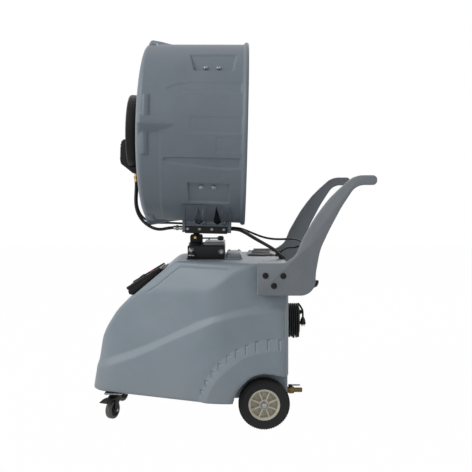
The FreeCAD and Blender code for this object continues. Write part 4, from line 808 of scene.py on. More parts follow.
# x of the middle of each teardrop hollow between the foot's gussets, and its half width.
TEARS = ((-124, 16), (-46, 16))
LEAF_LOW = [(-250, -19.6, -19.2), (-244, -21.0, -18.2), (-147, -23.1, -17.8), (-15, -24.9, -17.9), (42, -24.2, -17.9)]
LEAF_HIGH = [(-241, 23.2, 24.2), (-210, 21.9, 26.6), (-154, 21.4, 28.2), (42, 21.1, 27.9)]


def band(value, low, high, soft):
    """1 between low and high, falling smoothly to 0 over soft on either side."""
    return soft_step((value - low) / soft + 0.5) * soft_step((high - value) / soft + 0.5)


def drum_relief(x, turn):
    """How far the drum's mouldings stand out of the barrel, for both sides, top and bottom."""
    height = np.zeros_like(x)
    for quarter in (0, 90, 180, 270):
        rel = (turn - quarter + 180) % 360 - 180
        if quarter == 180:
            rel = -rel
        middle, half, proud = (np.interp(x, [k[0] for k in KEEL], [k[i] for k in KEEL]) for i in (1, 2, 3))
        over = np.clip(1 - np.abs(rel - middle) / np.maximum(half, 0.05), 0, 1)
        keel = proud * (1 - (1 - over) ** 1.25) * (x > -360) * (x < -198)
        bars = np.zeros_like(x)
        for x0, x1, low, high in BARS:
            flat = band(x, x0, x1, 5) * band(rel, low, high, 0.9)
            chamfer = 0.7 + 0.3 * soft_step(1 - np.abs(x - (x0 + x1) / 2) / ((x1 - x0) * 0.34))
            bars = np.maximum(bars, 9.0 * flat * chamfer)
        height = np.maximum(height, np.maximum(keel, bars))
    side = np.degrees(np.arcsin(np.sin(np.radians(turn))))
    low_edge = -157 + (side - POCKET_LOW[1]) * -0.25
    share = np.clip((side - POCKET_LOW[0]) / (POCKET_LOW[1] - POCKET_LOW[0]), 0, 1)
    height -= (5 + 10 * share) * band(x, low_edge, 1.5, 6) * band(side, *POCKET_LOW, 0.8)
    high_edge = -150 + (side - 45) * -1.35
    share = np.clip((POCKET_HIGH[1] - side) / (POCKET_HIGH[1] - POCKET_HIGH[0]), 0, 1)
    height -= (5 + 9.5 * share) * band(x, high_edge, 13 - (side - 45) * -0.8, 8) * band(side, *POCKET_HIGH, 1.0)
    for leaf, depth in ((LEAF_LOW, 5.5), (LEAF_HIGH, 2.2)):
        at = [p[0] for p in leaf]
        bottom, top = np.interp(x, at, [p[1] for p in leaf]), np.interp(x, at, [p[2] for p in leaf])
        inside = soft_step((side - bottom) / 1.1 + 0.2) * soft_step((top - side) / 0.5 + 0.3)
        height -= depth * inside * soft_step((x - at[0]) / 8 + 0.4) * soft_step((at[-1] - x) / 4 + 0.4)
    level = FAN_AXIS + DRUM_RADIUS * np.sin(np.radians(turn))
    for tear, half in TEARS:
        width = half * np.clip((884 - level) / 62, 0, 1)
        height -= 17 * soft_step((width - np.abs(x - tear)) / 5 + 0.2) * band(level, 790, 878, 6)
    height -= 1.3 * band(x, -149, 46, 3) * band(side, -3, 6.2, 0.6)
    height -= 1.2 * band(x, -50, 48, 3) * band(side, -14.2, -5.6, 0.6)
    height -= 1.4 * soft_step((-258 + side * 0.14 - x) / 3) * (x > -352) * band(side, -75, -2, 2)
    return height


def drum():
    """The fan drum: a rotomoulded barrel with keels, bars, bolt pockets and leaf grooves in its wall."""
    steps = 760
    turn = np.arange(steps) * 360.0 / steps
    stations = []
    for (x0, r0), (x1, r1) in zip(BARREL, BARREL[1:]):
        parts = max(1, int(math.hypot(x1 - x0, r1 - r0) / 3.4))
        stations += [(x0 + (x1 - x0) * i / parts, r0 + (r1 - r0) * i / parts) for i in range(parts)]
    stations.append(BARREL[-1])
    bm = bmesh.new()
    rings = []
    a = np.radians(turn)
    for x, r in stations:
        on_wall = soft_step((x + 356) / 10) * (x < 46)
        lift = drum_relief(np.full(steps, x), turn) * on_wall
        rings.append(np.stack([np.full(steps, x), -(r + lift) * np.cos(a), FAN_AXIS + (r + lift) * np.sin(a)], 1))
    for x in [60, 40, *range(36, -330, -6), -330, -344, -352, -356]:
        plain = np.interp(x, [-356, -352, -344, -330, -170, 0, 40, 60], [289, 322, 346, 354, 357, 360.5, 361, 361.5])
        lift = drum_relief(np.full(steps, float(x)), turn) * (-330 < x < 40)
        r = np.minimum(plain, DRUM_RADIUS + lift - DRUM_WALL)
        rings.append(np.stack([np.full(steps, float(x)), -r * np.cos(a), FAN_AXIS + r * np.sin(a)], 1))
    skin(bm, rings, loop=True)
    piece(bm, "drum_shell", DRUM_POLY, "head", ["fan_drum"], head=True, sharp=42)

    bm = bmesh.new()
    for side in (1, -1):
        for angle, spots in ((-38.3, (-106.5, -58.3)), (41.0, (-99.0, -49.1))):
            a = math.radians(angle)
            r = DRUM_RADIUS - 10.5
            for x in spots:
                facing = (0, -side * math.cos(a), math.sin(a))
                screw(bm, (x, -side * r * math.cos(a), FAN_AXIS + r * math.sin(a)), facing, 5.5, 1.5)
    piece(bm, "bracket_screws", ZINC, "head", head=True)


def drum_foot():
    """The moulded foot: gussets run down from the drum to the saddle, with a deep hollow between each two."""
    bm = bmesh.new()
    count_x, count_v = 104, 64
    ribs = (-186, -102, -16, 9)
    for side in (-1, 1):
        rows = []
        for k in range(count_v + 1):
            v = k / count_v
            z = 765 + (884 - 765) * v
            flare = float(soft_step((z - 796) / 75))
            barrel_y = math.sqrt(max(0.0, DRUM_RADIUS ** 2 - (FAN_AXIS - z) ** 2))
            base_y = max(70.0, barrel_y + 6 * float(soft_step((862 - z) / 40)) - 2.5)
            row = []
            for i in range(count_x + 1):
                x = -191 + 203 * i / count_x
                proud = 0.0
                for rib in ribs:
                    proud = max(proud, 10.0 * float(soft_step(1.6 - abs(x - rib) / 6.5)))
                proud *= (1 - 0.25 * flare) * float(soft_step((z - 792) / 12) * soft_step((886 - z) / 30))
                for tear, half in TEARS:
                    width = half * max(0.0, min(1.0, (z - 797) / 12)) * max(0.0, min(1.0, (884 - z) / 62))
                    if width > 1:
                        proud -= 24 * float(soft_step((width - abs(x - tear)) / 5))
                    row.append((x + (8 if x < -90 else -2.4) * flare, side * -(base_y + proud), z))
            rows.append(row)
        skin(bm, rows, closed=False)
    for x in (-191, 0):
        block(bm, (x, -79, 765), (x + 11.5, 79, 818), 2.5)
    block(bm, (-189, -72, 765), (10, 72, 800), 2)
    piece(bm, "drum_foot", DRUM_POLY, "head", head=True, sharp=50)


drum()
drum_foot()


# ------------------------------------------------------------- guards, motor and impeller
def guards():
    """Wire finger guards: rings of round wire welded to radial bars."""
    paths = [(circle(-359, r, 120), True) for r in range(74, 286, 11)] + [(circle(-361, 286, 140), True)]
    for a in angles(8, 0.5):
        c, s = math.cos(a), math.sin(a)
        paths.append(([(-355, 58 * c, FAN_AXIS + 58 * s), (-355.5, 180 * c, FAN_AXIS + 180 * s),
                       (-357, 287 * c, FAN_AXIS + 287 * s)], False))
    wires("front_guard_wires", paths, 1.7, BLACK_STEEL, "head", ["front_guard"], head=True)
    paths = []
    for r in range(66, 352, 11):
        paths.append((circle(58 + 8 * (1 - (r / 360) ** 2), r, 120), True))
    paths.append((circle(58, 358, 160), True))
    for a in angles(16, 0.5):
        c, s = math.cos(a), math.sin(a)
        paths.append(([(55 + 8 * (1 - (r / 360) ** 2), r * c, FAN_AXIS + r * s)
                       for r in (52, 110, 170, 230, 290, 357)], False))
    wires("rear_guard_wires", paths, 1.8, BLACK_STEEL, "head", ["rear_guard"], head=True)
    bm = bmesh.new()
    turned(bm, [(64, 0), (65, 30), (64.5, 46), (62, 58), (58, 60), (56, 58), (59, 44), (60, 0)],
           ON_FAN_AXIS, 64)
    for a in angles(4, 0.5):
        screw(bm, (64.2, 42 * math.cos(a), FAN_AXIS + 42 * math.sin(a)), (1, 0, 0), 3.5)
        screw(bm, (61, 354 * math.cos(a), FAN_AXIS + 354 * math.sin(a)), (1, 0, 0), 4)
    piece(bm, "rear_guard_plate", BLACK_STEEL, "head", head=True)


def impeller():
    """Six twisted blades on a ribbed hub."""
    bm = bmesh.new()
    middle = (-185.0, 0.0, FAN_AXIS)
    turned(bm, [(-30, 0), (-30, 40), (-27, 56), (-20, 62), (24, 62), (30, 58), (30, 20), (24, 18), (24, 0)],
           Matrix.Translation(middle), 64)
    for blade in angles(6):
        spin = Matrix.Translation(middle) @ Matrix.Rotation(blade, 4, "X")
        rings = []
        for k in range(13):
            share = k / 12
            r = 56 + (342 - 56) * share
            chord = 92 + 70 * math.sin(math.pi * (0.15 + 0.75 * share))
            pitch = math.radians(52 - 27 * share)
            sweep = 16 * share ** 2
            ring = []
            for a in angles(20):
                u = math.cos(a)
                thick = 0.5 * (5.5 - 2.5 * share) * math.sin(a) * (1 - 0.25 * u)
                camber = 0.07 * chord * (1 - u * u)
                along_chord, off = u * chord / 2 + sweep, thick + camber
                ring.append(spin @ Vector((along_chord * math.sin(pitch) - off * math.cos(pitch),
                                           along_chord * math.cos(pitch) + off * math.sin(pitch), r)))
            rings.append(ring)
        skin(bm, rings, caps=True)
    turned(bm, [(-46, 0), (-45, 8), (-42, 11), (-30, 12), (60, 9.8), (60, 0)], Matrix.Translation(middle), 32)
    piece(bm, "impeller_blades", BLACK_NYLON, "impeller", ["fan_impeller"], head=True, sharp=50)


def motor():
    """A finned fan motor on four straps that run out to the drum wall."""
    bm = bmesh.new()
    profile = [(-113, 0), (-113, 22), (-107, 26), (-105, 52), (-98, 66), (-92, 71)]
    for i in range(9):
        x = -86 + i * 11
        profile += [(x, 71.5), (x + 5, 71.5), (x + 6, 67), (x + 9.5, 67)]
    profile += [(15, 71), (24, 66), (32, 50), (34, 24), (35, 0)]
    turned(bm, profile, ON_FAN_AXIS, 72)
    block(bm, (-60, -24, FAN_AXIS + 62), (-4, 24, FAN_AXIS + 86), 4)
    piece(bm, "fan_motor_shell", MOTOR_ENAMEL, "head", ["fan_motor"], head=True)
    bm = bmesh.new()
    for a in angles(4, 0.5):
        turn = ON_FAN_AXIS @ Matrix.Rotation(a, 4, "X")
        block(bm, (-70, -3, 72), (-38, 3, 345), 1, turn)
        block(bm, (-72, -24, 341.5), (-36, 24, 345), 1, turn)
        for y in (12, -12):
            screw(bm, turn @ Vector((-54, y, 341.5)), turn.to_3x3() @ Vector((0, 0, -1)), 4.5)
    turned(bm, [(-70, 72), (-70, 76), (-38, 76), (-38, 72)], ON_FAN_AXIS, 72)
    piece(bm, "motor_straps", BLACK_STEEL, "head", ["motor_bracket"], head=True)


guards()
impeller()
motor()


# ------------------------------------------------------------- mist head
def mist_head():
    """The black cup in front of the drum, its spinning disc, and the chin that takes the water in."""
    bm = bmesh.new()
    turned(bm, [(-363, 40), (-363, 96), (-368, 112), (-372, 140), (-376, 152), (-382, 155), (-411, 156.5),
                (-418, 155.5), (-422, 151), (-422.5, 147), (-420, 144), (-404, 141), (-385, 136), (-379, 110),
                (-371, 90), (-369, 40)], ON_FAN_AXIS, 112)
    chin = [(-412, 1144), (-443, 1144), (-452, 1135), (-456, 1108), (-456, 1056), (-452, 1042), (-428, 1024),
            (-402, 1004), (-382, 1004), (-376, 1050), (-376, 1066), (-412, 1070)]
    slab(bm, chin, -55, 55, "XZ", 4)
    for z in (1122, 1106, 1090):
        block(bm, (-458, -40, z - 2), (-453, 40, z + 2), 1.2)
    for y in (-34, 34):
        screw(bm, (-456, y, 1066), (-1, 0, 0), 4)
    piece(bm, "mist_cup", MIST_ABS, "head", ["mist_housing"], head=True)

    bm = bmesh.new()
    rings = [(-405, 0), (-403, 20), (-399, 26), (-397, 40), (-397.5, 104), (-401, 112), (-416, 117.4), (-422, 118),
             (-424, 116.5), (-425, 113), (-431, 60), (-434, 20), (-435, 0)]
    turned(bm, rings, ON_FAN_AXIS, 96)
    for a in angles(60):
        turn = ON_FAN_AXIS @ Matrix.Rotation(a, 4, "X")
        block(bm, (-421, -0.7, 116.6), (-408, 0.7, 119.4), 0.3, turn, segments=1)
    turned(bm, [(-439, 0), (-438.5, 6), (-437, 11), (-433, 13), (-433, 0)], ON_FAN_AXIS, 32)
    turned(bm, [(-403, 0), (-403, 9), (-372, 9), (-372, 0)], ON_FAN_AXIS, 24)
    piece(bm, "mist_disc_face", BLACK_NYLON, "mist_disc", ["mist_disc"], head=True)

    bm = bmesh.new()
    down = along((0, 0, 1), (-392.1, -18, 0))
    turned(bm, [(968, 7), (969, 8), (973, 8), (974, 8.6), (976, 8), (978, 8.6), (980, 8), (981, 10), (990, 10.4),
                (991, 9), (1003, 8.6), (1006, 8)], down, 32)
    hex_nut(bm, (-392.1, -18, 983), (0, 0, 1), 20, 9)
    cable = along((0, 0, 1), (-392.1, 30, 0))
    turned(bm, [(978, 5.5), (980, 6.6), (985, 6.6), (986, 8.3), (994, 8.3), (995, 6.5), (1006, 6.5)], cable, 28)
    piece(bm, "water_inlet", BRASS, "head", ["brass_elbow"], head=True)

    bm = bmesh.new()
    run = Matrix.Translation((0, -18, 779.8))
    turned(bm, [(-232, 7), (-231, 8.4), (-224, 8.4), (-222, 7.6), (-221, 10.8), (-211, 11), (-209, 8.2), (-204, 8.2),
                (-203, 9.4), (-197, 9.4), (-196, 8), (-189, 8)], run, 36)
    hex_nut(bm, (-221, -18, 779.8), (1, 0, 0), 21, 9)
    piece(bm, "hose_union", NICKEL, "head", ["hose_coupling"], head=True)


mist_head()


# ------------------------------------------------------------- pedestal, neck and saddle
PEDESTAL_HALF = 117  # half the pedestal's width
PLUNGER = (-147.6, 676.6)  # x and z of the pan lock's plunger


def pedestal():
    """The steel box that the neck turns in, with its grey cover plate, bolts and pull plunger."""
    bm = bmesh.new()
    block(bm, (-166, -PEDESTAL_HALF, 658), (-14, PEDESTAL_HALF, 712), 3)
    block(bm, (-170, -119, 655.6), (-10, 119, 659.5), 1)
    for side in (-1, 1):
        block(bm, (-160, side * PEDESTAL_HALF - 1.2, 664), (-20, side * PEDESTAL_HALF + 1.2, 665.5), 0.5)
    turned(bm, [(712, 33), (716, 33), (717, 31), (717, 22)], along((0, 0, 1), (-135, 0, 0)), 48)
    piece(bm, "pedestal_shell", BLACK_STEEL, "base", ["pedestal_box", "pan_bush"])
    bm = bmesh.new()
    block(bm, (-99, -100, 712), (-14, 100, 723.5), 3)
    for x in (-84, -28):
        for y in (-84, 84):
            screw(bm, (x, y, 723.2), (0, 0, 1), 4)
    piece(bm, "pedestal_lid", GREY_STEEL, "base", ["pedestal_cover"])
    bm = bmesh.new()
    for side in (-1, 1):
        for x, z in ((-151.6, 693), (-27, 687)):
            turned(bm, [(0, 11), (1.6, 11), (2.2, 10)], along((0, side, 0), (x, side * PEDESTAL_HALF, z)), 32)
            hex_nut(bm, (x, side * 118.5, z), (0, side, 0), 13, 5.5, 4)
    piece(bm, "pedestal_bolts", ZINC, "base", ["base_bolts"])
    bm = bmesh.new()
    for side in (-1, 1):
        for x, z in ARM_SCREWS:
            screw(bm, (x, side * 355.6, z), (0, side, 0), 7.2, 1.6)
    piece(bm, "arm_screws", BLACK_STEEL, "base")
    bm = bmesh.new()
    turned(bm, [(664, 19.5), (717.5, 19.5), (717.5, 0), (664, 0)], along((0, 0, 1), (-135, 0, 0)), 64)
    for side in (-1, 1):
        slab(bm, [(-161, 734), (-109, 734), (-109, 745), (-112, 751)]
             + arc((TILT_PIN.x, TILT_PIN.z), 12.5, 40, 141, 20) + [(-158, 751), (-161, 745)],
             side * 12.4, side * 23.3, "XZ", 1.2)
    block(bm, (-161, -23, 717.4), (-109, 23, 735.5), 2.5)
    for y in (-23.2, 23.2):
        screw(bm, (-119, y, 726), (0, y, 0), 3, 1.2)
    piece(bm, "neck_block", BLACK_STEEL, "neck", ["neck_post"])
    bm = bmesh.new()
    turned(bm, [(-109, 0), (-109, 5), (-108, 5.5), (28, 5.5), (28, 0)], along((0, 1, 0), TILT_PIN), 24)
    for side in (-1, 1):
        hex_nut(bm, (-135, side * 23.3, 745.5), (0, side, 0), 11, 5, 3.6)
    piece(bm, "tilt_pin", BRASS, "neck", ["tilt_bolt"])


def clamp_and_plunger():
    """The tilt clamp's lever on the pin's near end, and the pan lock's plunger with its pull ring."""
    bm = bmesh.new()
    turned(bm, [(-101, 0), (-101, 8.2), (-99, 9), (-91, 9), (-89, 8), (-89, 0)], along((0, 1, 0), TILT_PIN), 36)
    turned(bm, [(0, 4.2), (14, 3.4), (80, 3.0), (92, 3.2), (92, 0)], along((1, 0, 0), (-135, -95, 742.5)), 24)
    turned(bm, [(92, 0), (92, 5), (94, 7.4), (99, 9), (108, 9.4), (113, 8.4), (117, 5.4), (118, 0)],
           along((1, 0, 0), (-135, -95, 742.5)), 32)
    piece(bm, "clamp_arm", BLACK_STEEL, "clamp_lever", ["clamp_lever"])
    bm = bmesh.new()
    turned(bm, [(0, 6.4), (88, 6.9), (90, 10), (96, 10.8), (104, 10.8), (106, 9.5), (107, 5),
                (111, 4.6), (113, 0)], along((0, -1, 0), (PLUNGER[0], -26, PLUNGER[1])), 36)
    hex_nut(bm, (PLUNGER[0], -117.5, PLUNGER[1]), (0, -1, 0), 19, 5)
    piece(bm, "plunger_body", BLACK_STEEL, "lock_plunger", ["lock_plunger"])
    ring = [(PLUNGER[0] + 13.0 * math.sin(a), -146 + 11.5 * math.cos(a) * 0.9, 675 - 2.2 * math.cos(a))
            for a in angles(40)]
    wires("plunger_ring", [(ring, True)], 1.5, ZINC, "lock_plunger")


def saddle():
    """The black channel under the drum's foot, with four bolts through each cheek."""
    bm = bmesh.new()
    block(bm, (-179, -75, 761), (-4, 75, 765.5), 1.2)
    for side in (-1, 1):
        block(bm, (-179, side * 75 - 2.4, 761), (-4, side * 75 + 2.4, 791), 1.6)
    slab(bm, [(-147.5, 762), (-122.5, 762), (-122.5, 745.5)] + arc((TILT_PIN.x, TILT_PIN.z), 12.5, -15, -166, -15)
         + [(-147.5, 745.5)], -11.6, 11.6, "XZ", 1)
    piece(bm, "saddle_channel", BLACK_STEEL, "head", ["saddle_frame"], head=True)
    bm = bmesh.new()
    for side in (-1, 1):
        for x in (-168.3, -118.5, -67.9, -18.5):
            turned(bm, [(0, 7.5), (1.2, 7.5), (1.6, 7)], along((0, side, 0), (x, side * 77.2, 779)), 28)
            hex_nut(bm, (x, side * 78.4, 779), (0, side, 0), 9.5, 4, 3)
    piece(bm, "saddle_bolt_heads", ZINC, "head", ["saddle_bolts"], head=True)


# ------------------------------------------------------------- deck and control box
def deck():
    """The raised service cover, the filler lid and its hinge pin, and the hose glands."""
    bm = bmesh.new()
    block(bm, (-10, -112, 655), (60, 112, 662), 3)
    block(bm, (-6, -106, 660), (56, 106, 677), 5)
    for x in (4, 46):
        for y in (-92, 92):
            screw(bm, (x, y, 676.6), (0, 0, 1), 4.5)
    for k in range(5):
        block(bm, (8 + 8 * k, -70, 676), (11 + 8 * k, 70, 678.6), 1)
    piece(bm, "service_cover", TANK_POLY, "base", ["service_hatch"])
    bm = bmesh.new()
    slab(bm, box_outline((84, 44), (200, 194), 15), 656.6, 663, "XY", 2)
    slab(bm, box_outline((92, 52), (192, 186), 12), 661.5, 665.2, "XY", 1.6)
    for k in range(7):
        block(bm, (102, 66 + 15 * k, 664.6), (182, 69 + 15 * k, 666.6), 0.9)
    block(bm, (126, 36, 657), (158, 48, 662.5), 2)
    block(bm, (104, 188, 659.5), (180, 202, 663), 1)
    turned(bm, [(103, 2.4), (103, 5), (181, 5), (181, 2.4)], Matrix.Translation((0, 202, 663)), 28)
    piece(bm, "lid_moulding", LID_ABS, "lid", ["filler_lid"])
    bm = bmesh.new()
    for low, high in ((91, 101), (183, 193)):
        block(bm, (low, 197, 654), (high, 207, 668), 3)
    slab(bm, box_outline((78, 38), (206, 210), 18), 654, 656.5, "XY", 1)
    piece(bm, "filler_surround", TANK_POLY, "base")
    bm = bmesh.new()
    turned(bm, [(89, 0), (89, 3.6), (91, 3.9), (91, 2), (193, 2), (193, 3.9), (195, 3.6), (195, 0)],
           Matrix.Translation((0, 202, 663)), 24)
    piece(bm, "hinge_pin", ZINC, "base", ["lid_pin"])
    bm = bmesh.new()
    for y, x, side in ((-95, 228, -1), (-67, 228, -1), (50, 212, 1)):
        tilt = math.radians(40) * side
        aim = (math.sin(tilt), 0, math.cos(tilt))
        foot = Vector((x, y, 656)) - Vector(aim) * 3
        turned(bm, [(0, 12.5), (4, 13), (6, 12), (7, 9.8), (18, 9.6), (22, 9.2), (25, 8), (26.5, 6.8), (26.5, 4)],
               along(aim, foot), 28)
        hex_nut(bm, foot + Vector(aim) * 5, aim, 19, 8)
        turned(bm, [(655.6, 15), (657, 15), (658.5, 13), (658.5, 0), (655.6, 0)], along((0, 0, 1), (x - 2, y, 0)), 28)
    piece(bm, "cable_glands", BLACK_NYLON, "base", ["hose_glands"])


SLOPE = math.atan2(SLOPE_TOP[1] - SLOPE_FOOT[1], SLOPE_TOP[0] - SLOPE_FOOT[0])
BOX_FOOT = Vector((-395.6, 0, 503.9))
ON_SLOPE = Matrix.Translation(BOX_FOOT) @ Matrix.Rotation(-SLOPE, 4, "Y")
PANEL_FALL = math.atan2(27.0, 175.0)
ON_PANEL = ON_SLOPE @ Matrix.Translation((0, 0, 35)) @ Matrix.Rotation(PANEL_FALL, 4, "Y")
# How far up the panel the two dials and the switch turn.
DIAL_UP = (ON_PANEL.inverted() @ Vector((-371.9, 0, 569.0))).x
SWITCH_UP = (ON_PANEL.inverted() @ Vector((-325.65, 0, 596.87))).x


def control_box():
    """The black wedge on the tank's slope: bezel, printed panel, two dials and a rotary switch."""
    bm = bmesh.new()
    side_line = [(4, 0.4), (174, 0.4), (175, 4), (163, 6), (14, 33), (4, 32), (-4, 22), (-6, 12)]
    slab(bm, side_line, -104, 104, "XZ", 3.5, ON_SLOPE)
    for side in (-1, 1):
        block(bm, (1, side * 101 - 3.5, -4), (163, side * 101 + 3.5, 8.5), 2.5, ON_PANEL)
    block(bm, (0, -104, -2), (10, 104, 5), 2.5, ON_PANEL)
    block(bm, (154, -104, -4), (164, 104, 4), 2.5, ON_PANEL)
    piece(bm, "control_shell", MIST_ABS, "base", ["control_housing"])
    bm = bmesh.new()
    block(bm, (9, -96, -1), (155, 96, 2.4), 1, ON_PANEL)
    for x in (16, 148):
        for y in (-88, 88):
            screw(bm, ON_PANEL @ Vector((x, y, 2.2)), ON_PANEL.to_3x3() @ Vector((0, 0, 1)), 2.6)
    turned(bm, [(2, 11), (2, 14), (3.6, 13.6), (3.6, 11)], ON_PANEL @ Matrix.Translation((SWITCH_UP, 0, 0)) @
           Matrix.Rotation(-math.pi / 2, 4, "Y"), 40)
    piece(bm, "control_face", PANEL_FILM, "base", ["control_panel"])
    bm = bmesh.new()
    for y in (-45, 45):
        for k in range(11):
            a = math.radians(-135 + 27 * k)
            mark = ON_PANEL @ Matrix.Translation((DIAL_UP, y, 2.6)) @ Matrix.Rotation(a, 4, "Z")
            block(bm, (21, -0.6, -0.4), (21 + (6 if k % 5 == 0 else 3.5), 0.6, 0.4), 0, mark)
    for mark_y in (-24, 24):
        block(bm, (SWITCH_UP - 4, mark_y - 0.7, 2.2), (SWITCH_UP + 4, mark_y + 0.7, 2.9), 0, ON_PANEL)
    piece(bm, "dial_marks", DIAL_INK, "base")
    for node, name, y in (("speed_knob", "fan_speed_dial", -45), ("mist_knob", "mist_flow_dial", 45)):
        bm = bmesh.new()
        at = ON_PANEL @ Matrix.Translation((DIAL_UP, y, 3)) @ Matrix.Rotation(-math.pi / 2, 4, "Y")
        rings = []
        for reach, r in ((0, 15), (2, 15), (3, 13.4), (7.4, 12.6), (9, 11.6), (9.5, 9)):
            flute = 0.7 if 2.5 < reach < 8 else 0
            rings.append([at @ Vector((reach, (r + flute * math.cos(18 * a)) * math.cos(a),
                                       (r + flute * math.cos(18 * a)) * math.sin(a))) for a in angles(144)])
        skin(bm, rings, caps=True)
        block(bm, (1, -1.1, 11.8), (11, 1.1, 13.2), 0.5, ON_PANEL @ Matrix.Translation((DIAL_UP, y, 0)))
        piece(bm, name, BLACK_NYLON, node, [node])
    bm = bmesh.new()
    at = ON_PANEL @ Matrix.Translation((SWITCH_UP, 0, 0))
    turned(bm, [(4, 0), (4, 10.5), (6, 10.5), (7, 9.4), (7, 0)], at @ Matrix.Rotation(-math.pi / 2, 4, "Y"), 40)
    block(bm, (-9, -3, 6), (9, 3, 11), 1.5, at)
    piece(bm, "mains_isolator", SWITCH_RED, "power_switch", ["power_switch"])


# ------------------------------------------------------------- rear fittings
def rear_fittings():
    """Cord hooks, the cord's gland and the drain valve on the tank's back wall."""
    bm = bmesh.new()
    for y, z, reach, rise, r in ((0, 532, 387, 24, 10), (-20, 419.5, 320, 12, 9)):
        turned(bm, [(239, 0), (239, r + 11), (242, r + 11), (244.5, r + 6), (246, r)],
               Matrix.Translation((0, y, z)), 40)
        line = [Vector((240, y, z)), Vector((reach - 34, y, z)), Vector((reach - 16, y, z + rise * 0.08)),
                Vector((reach - 10, y, z + rise * 0.55)), Vector((reach - 9.5, y, z + rise))]
        rings = []
        for k in range(25):
            t = k / 24 * (len(line) - 1)
            i = min(int(t), len(line) - 2)
            p = line[i].lerp(line[i + 1], t - i)
            ahead = (line[i + 1] - line[i]).normalized()
            size = r * (1 - 0.12 * k / 24) * (0.72 if k == 24 else 1)
            side = Vector((0, 1, 0))
            top = ahead.cross(side)
            rings.append([p + side * (size * math.cos(a)) + top * (size * math.sin(a))
                          for a in angles(24)])
        skin(bm, rings, caps=True)
    piece(bm, "lead_hooks", BLACK_NYLON, "base", ["cord_hooks"], sharp=60)
    bm = bmesh.new()
    turned(bm, [(238.6, 0), (238.6, 9), (243, 9), (243, 0)], Matrix.Translation(LEAD_GLAND), 32)
    piece(bm, "lead_gland", BLACK_NYLON, "base", ["power_gland"])
    bm = bmesh.new()
    turned(bm, [(238.8, 10), (238.8, 17), (242, 17), (243, 13), (247, 13), (249, 15), (263, 15), (266, 13), (269, 12),
                (270, 10), (276, 9.2), (279, 10), (284, 9), (287, 10), (292, 9), (295, 10), (300, 9), (302, 8.4),
                (302, 6.4), (245, 6.4)], Matrix.Translation((0, -180, 130)), 36)
    hex_nut(bm, (262, -180, 130), (1, 0, 0), 25, 7)
    piece(bm, "drain_body", DARK_BRASS, "base", ["drain_valve"])
    bm = bmesh.new()
    turned(bm, [(144.8, 0), (144.8, 8), (147, 9), (151, 9), (152, 7), (152, 0)],
           along((0, 0, 1), (254, -180, 0)), 32)
    slab(bm, [(252, -184), (284, -185), (292, -183), (294, -180), (292, -177), (284, -175), (252, -176)],
         148, 151.8, "XY", 1)
    piece(bm, "drain_handle", BLACK_NYLON, "drain_lever", ["drain_lever"])


pedestal()
clamp_and_plunger()
saddle()
deck()
control_box()
rear_fittings()


# ------------------------------------------------------------- wheels and casters
def wheel(side, hand):
    """A solid rubber tyre on a moulded nylon centre with eight spokes."""
    axle = along((0, side, 0), (AXLE.x, side * 275, AXLE.z))
    bm = bmesh.new()
    turned(bm, [(-25, 60), (-25, 66), (-24, 80), (-22, 92), (-17, 98.5), (-11, 101), (-9.4, 101.5), (-9, 99.5),
                (-7.4, 99.5), (-7, 101.6), (-1.2, 101.6), (-0.8, 99.6), (0.8, 99.6), (1.2, 101.6), (7, 101.6),
                (7.4, 99.5), (9, 99.5), (9.4, 101.5), (11, 101), (17, 98.5), (22, 92), (23.4, 86), (24.6, 84),
                (24.2, 80), (25, 72), (25, 66), (24, 61.5), (20, 60)], axle, 128)
    for a in angles(64):
        turn = axle @ Matrix.Rotation(a, 4, "X")
        block(bm, (10.5, -1.5, 96.5), (20, 1.5, 100.6), 0.6, turn, segments=1)
        block(bm, (-20, -1.5, 96.5), (-10.5, 1.5, 100.6), 0.6, turn, segments=1)
    piece(bm, f"tyre_tread_{hand}", TYRE_RUBBER, f"wheel_{hand}", [f"tyre_{hand}"], sharp=30)
    bm = bmesh.new()
    turned(bm, [(-24, 62), (-24, 54), (-20, 53), (20, 52), (23.6, 53), (25.6, 55), (26, 58.5), (25.4, 61.5),
                (23, 62.5)], axle, 96)
    turned(bm, [(-22, 9), (-24, 12), (-24, 19), (-20, 21), (21, 21), (24.6, 19.5), (25.4, 17), (25.4, 13),
                (21, 12.4), (21, 9)], axle, 64)
    turned(bm, [(-6, 20), (-6, 54), (3, 54), (3, 20)], axle, 96)
    for a in angles(8, 0.5):
        turn = axle @ Matrix.Rotation(a, 4, "X")
        slab(bm, [(19, -3.4), (54, -2.5), (54, 2.5), (19, 3.4)], -22, 23.4, "XY", 1.1,
             turn @ Matrix(((0, 0, 1, 0), (0, 1, 0, 0), (1, 0, 0, 0), (0, 0, 0, 1))))
    piece(bm, f"wheel_centre_{hand}", RIM_NYLON, f"wheel_{hand}", [f"wheel_rim_{hand}"])


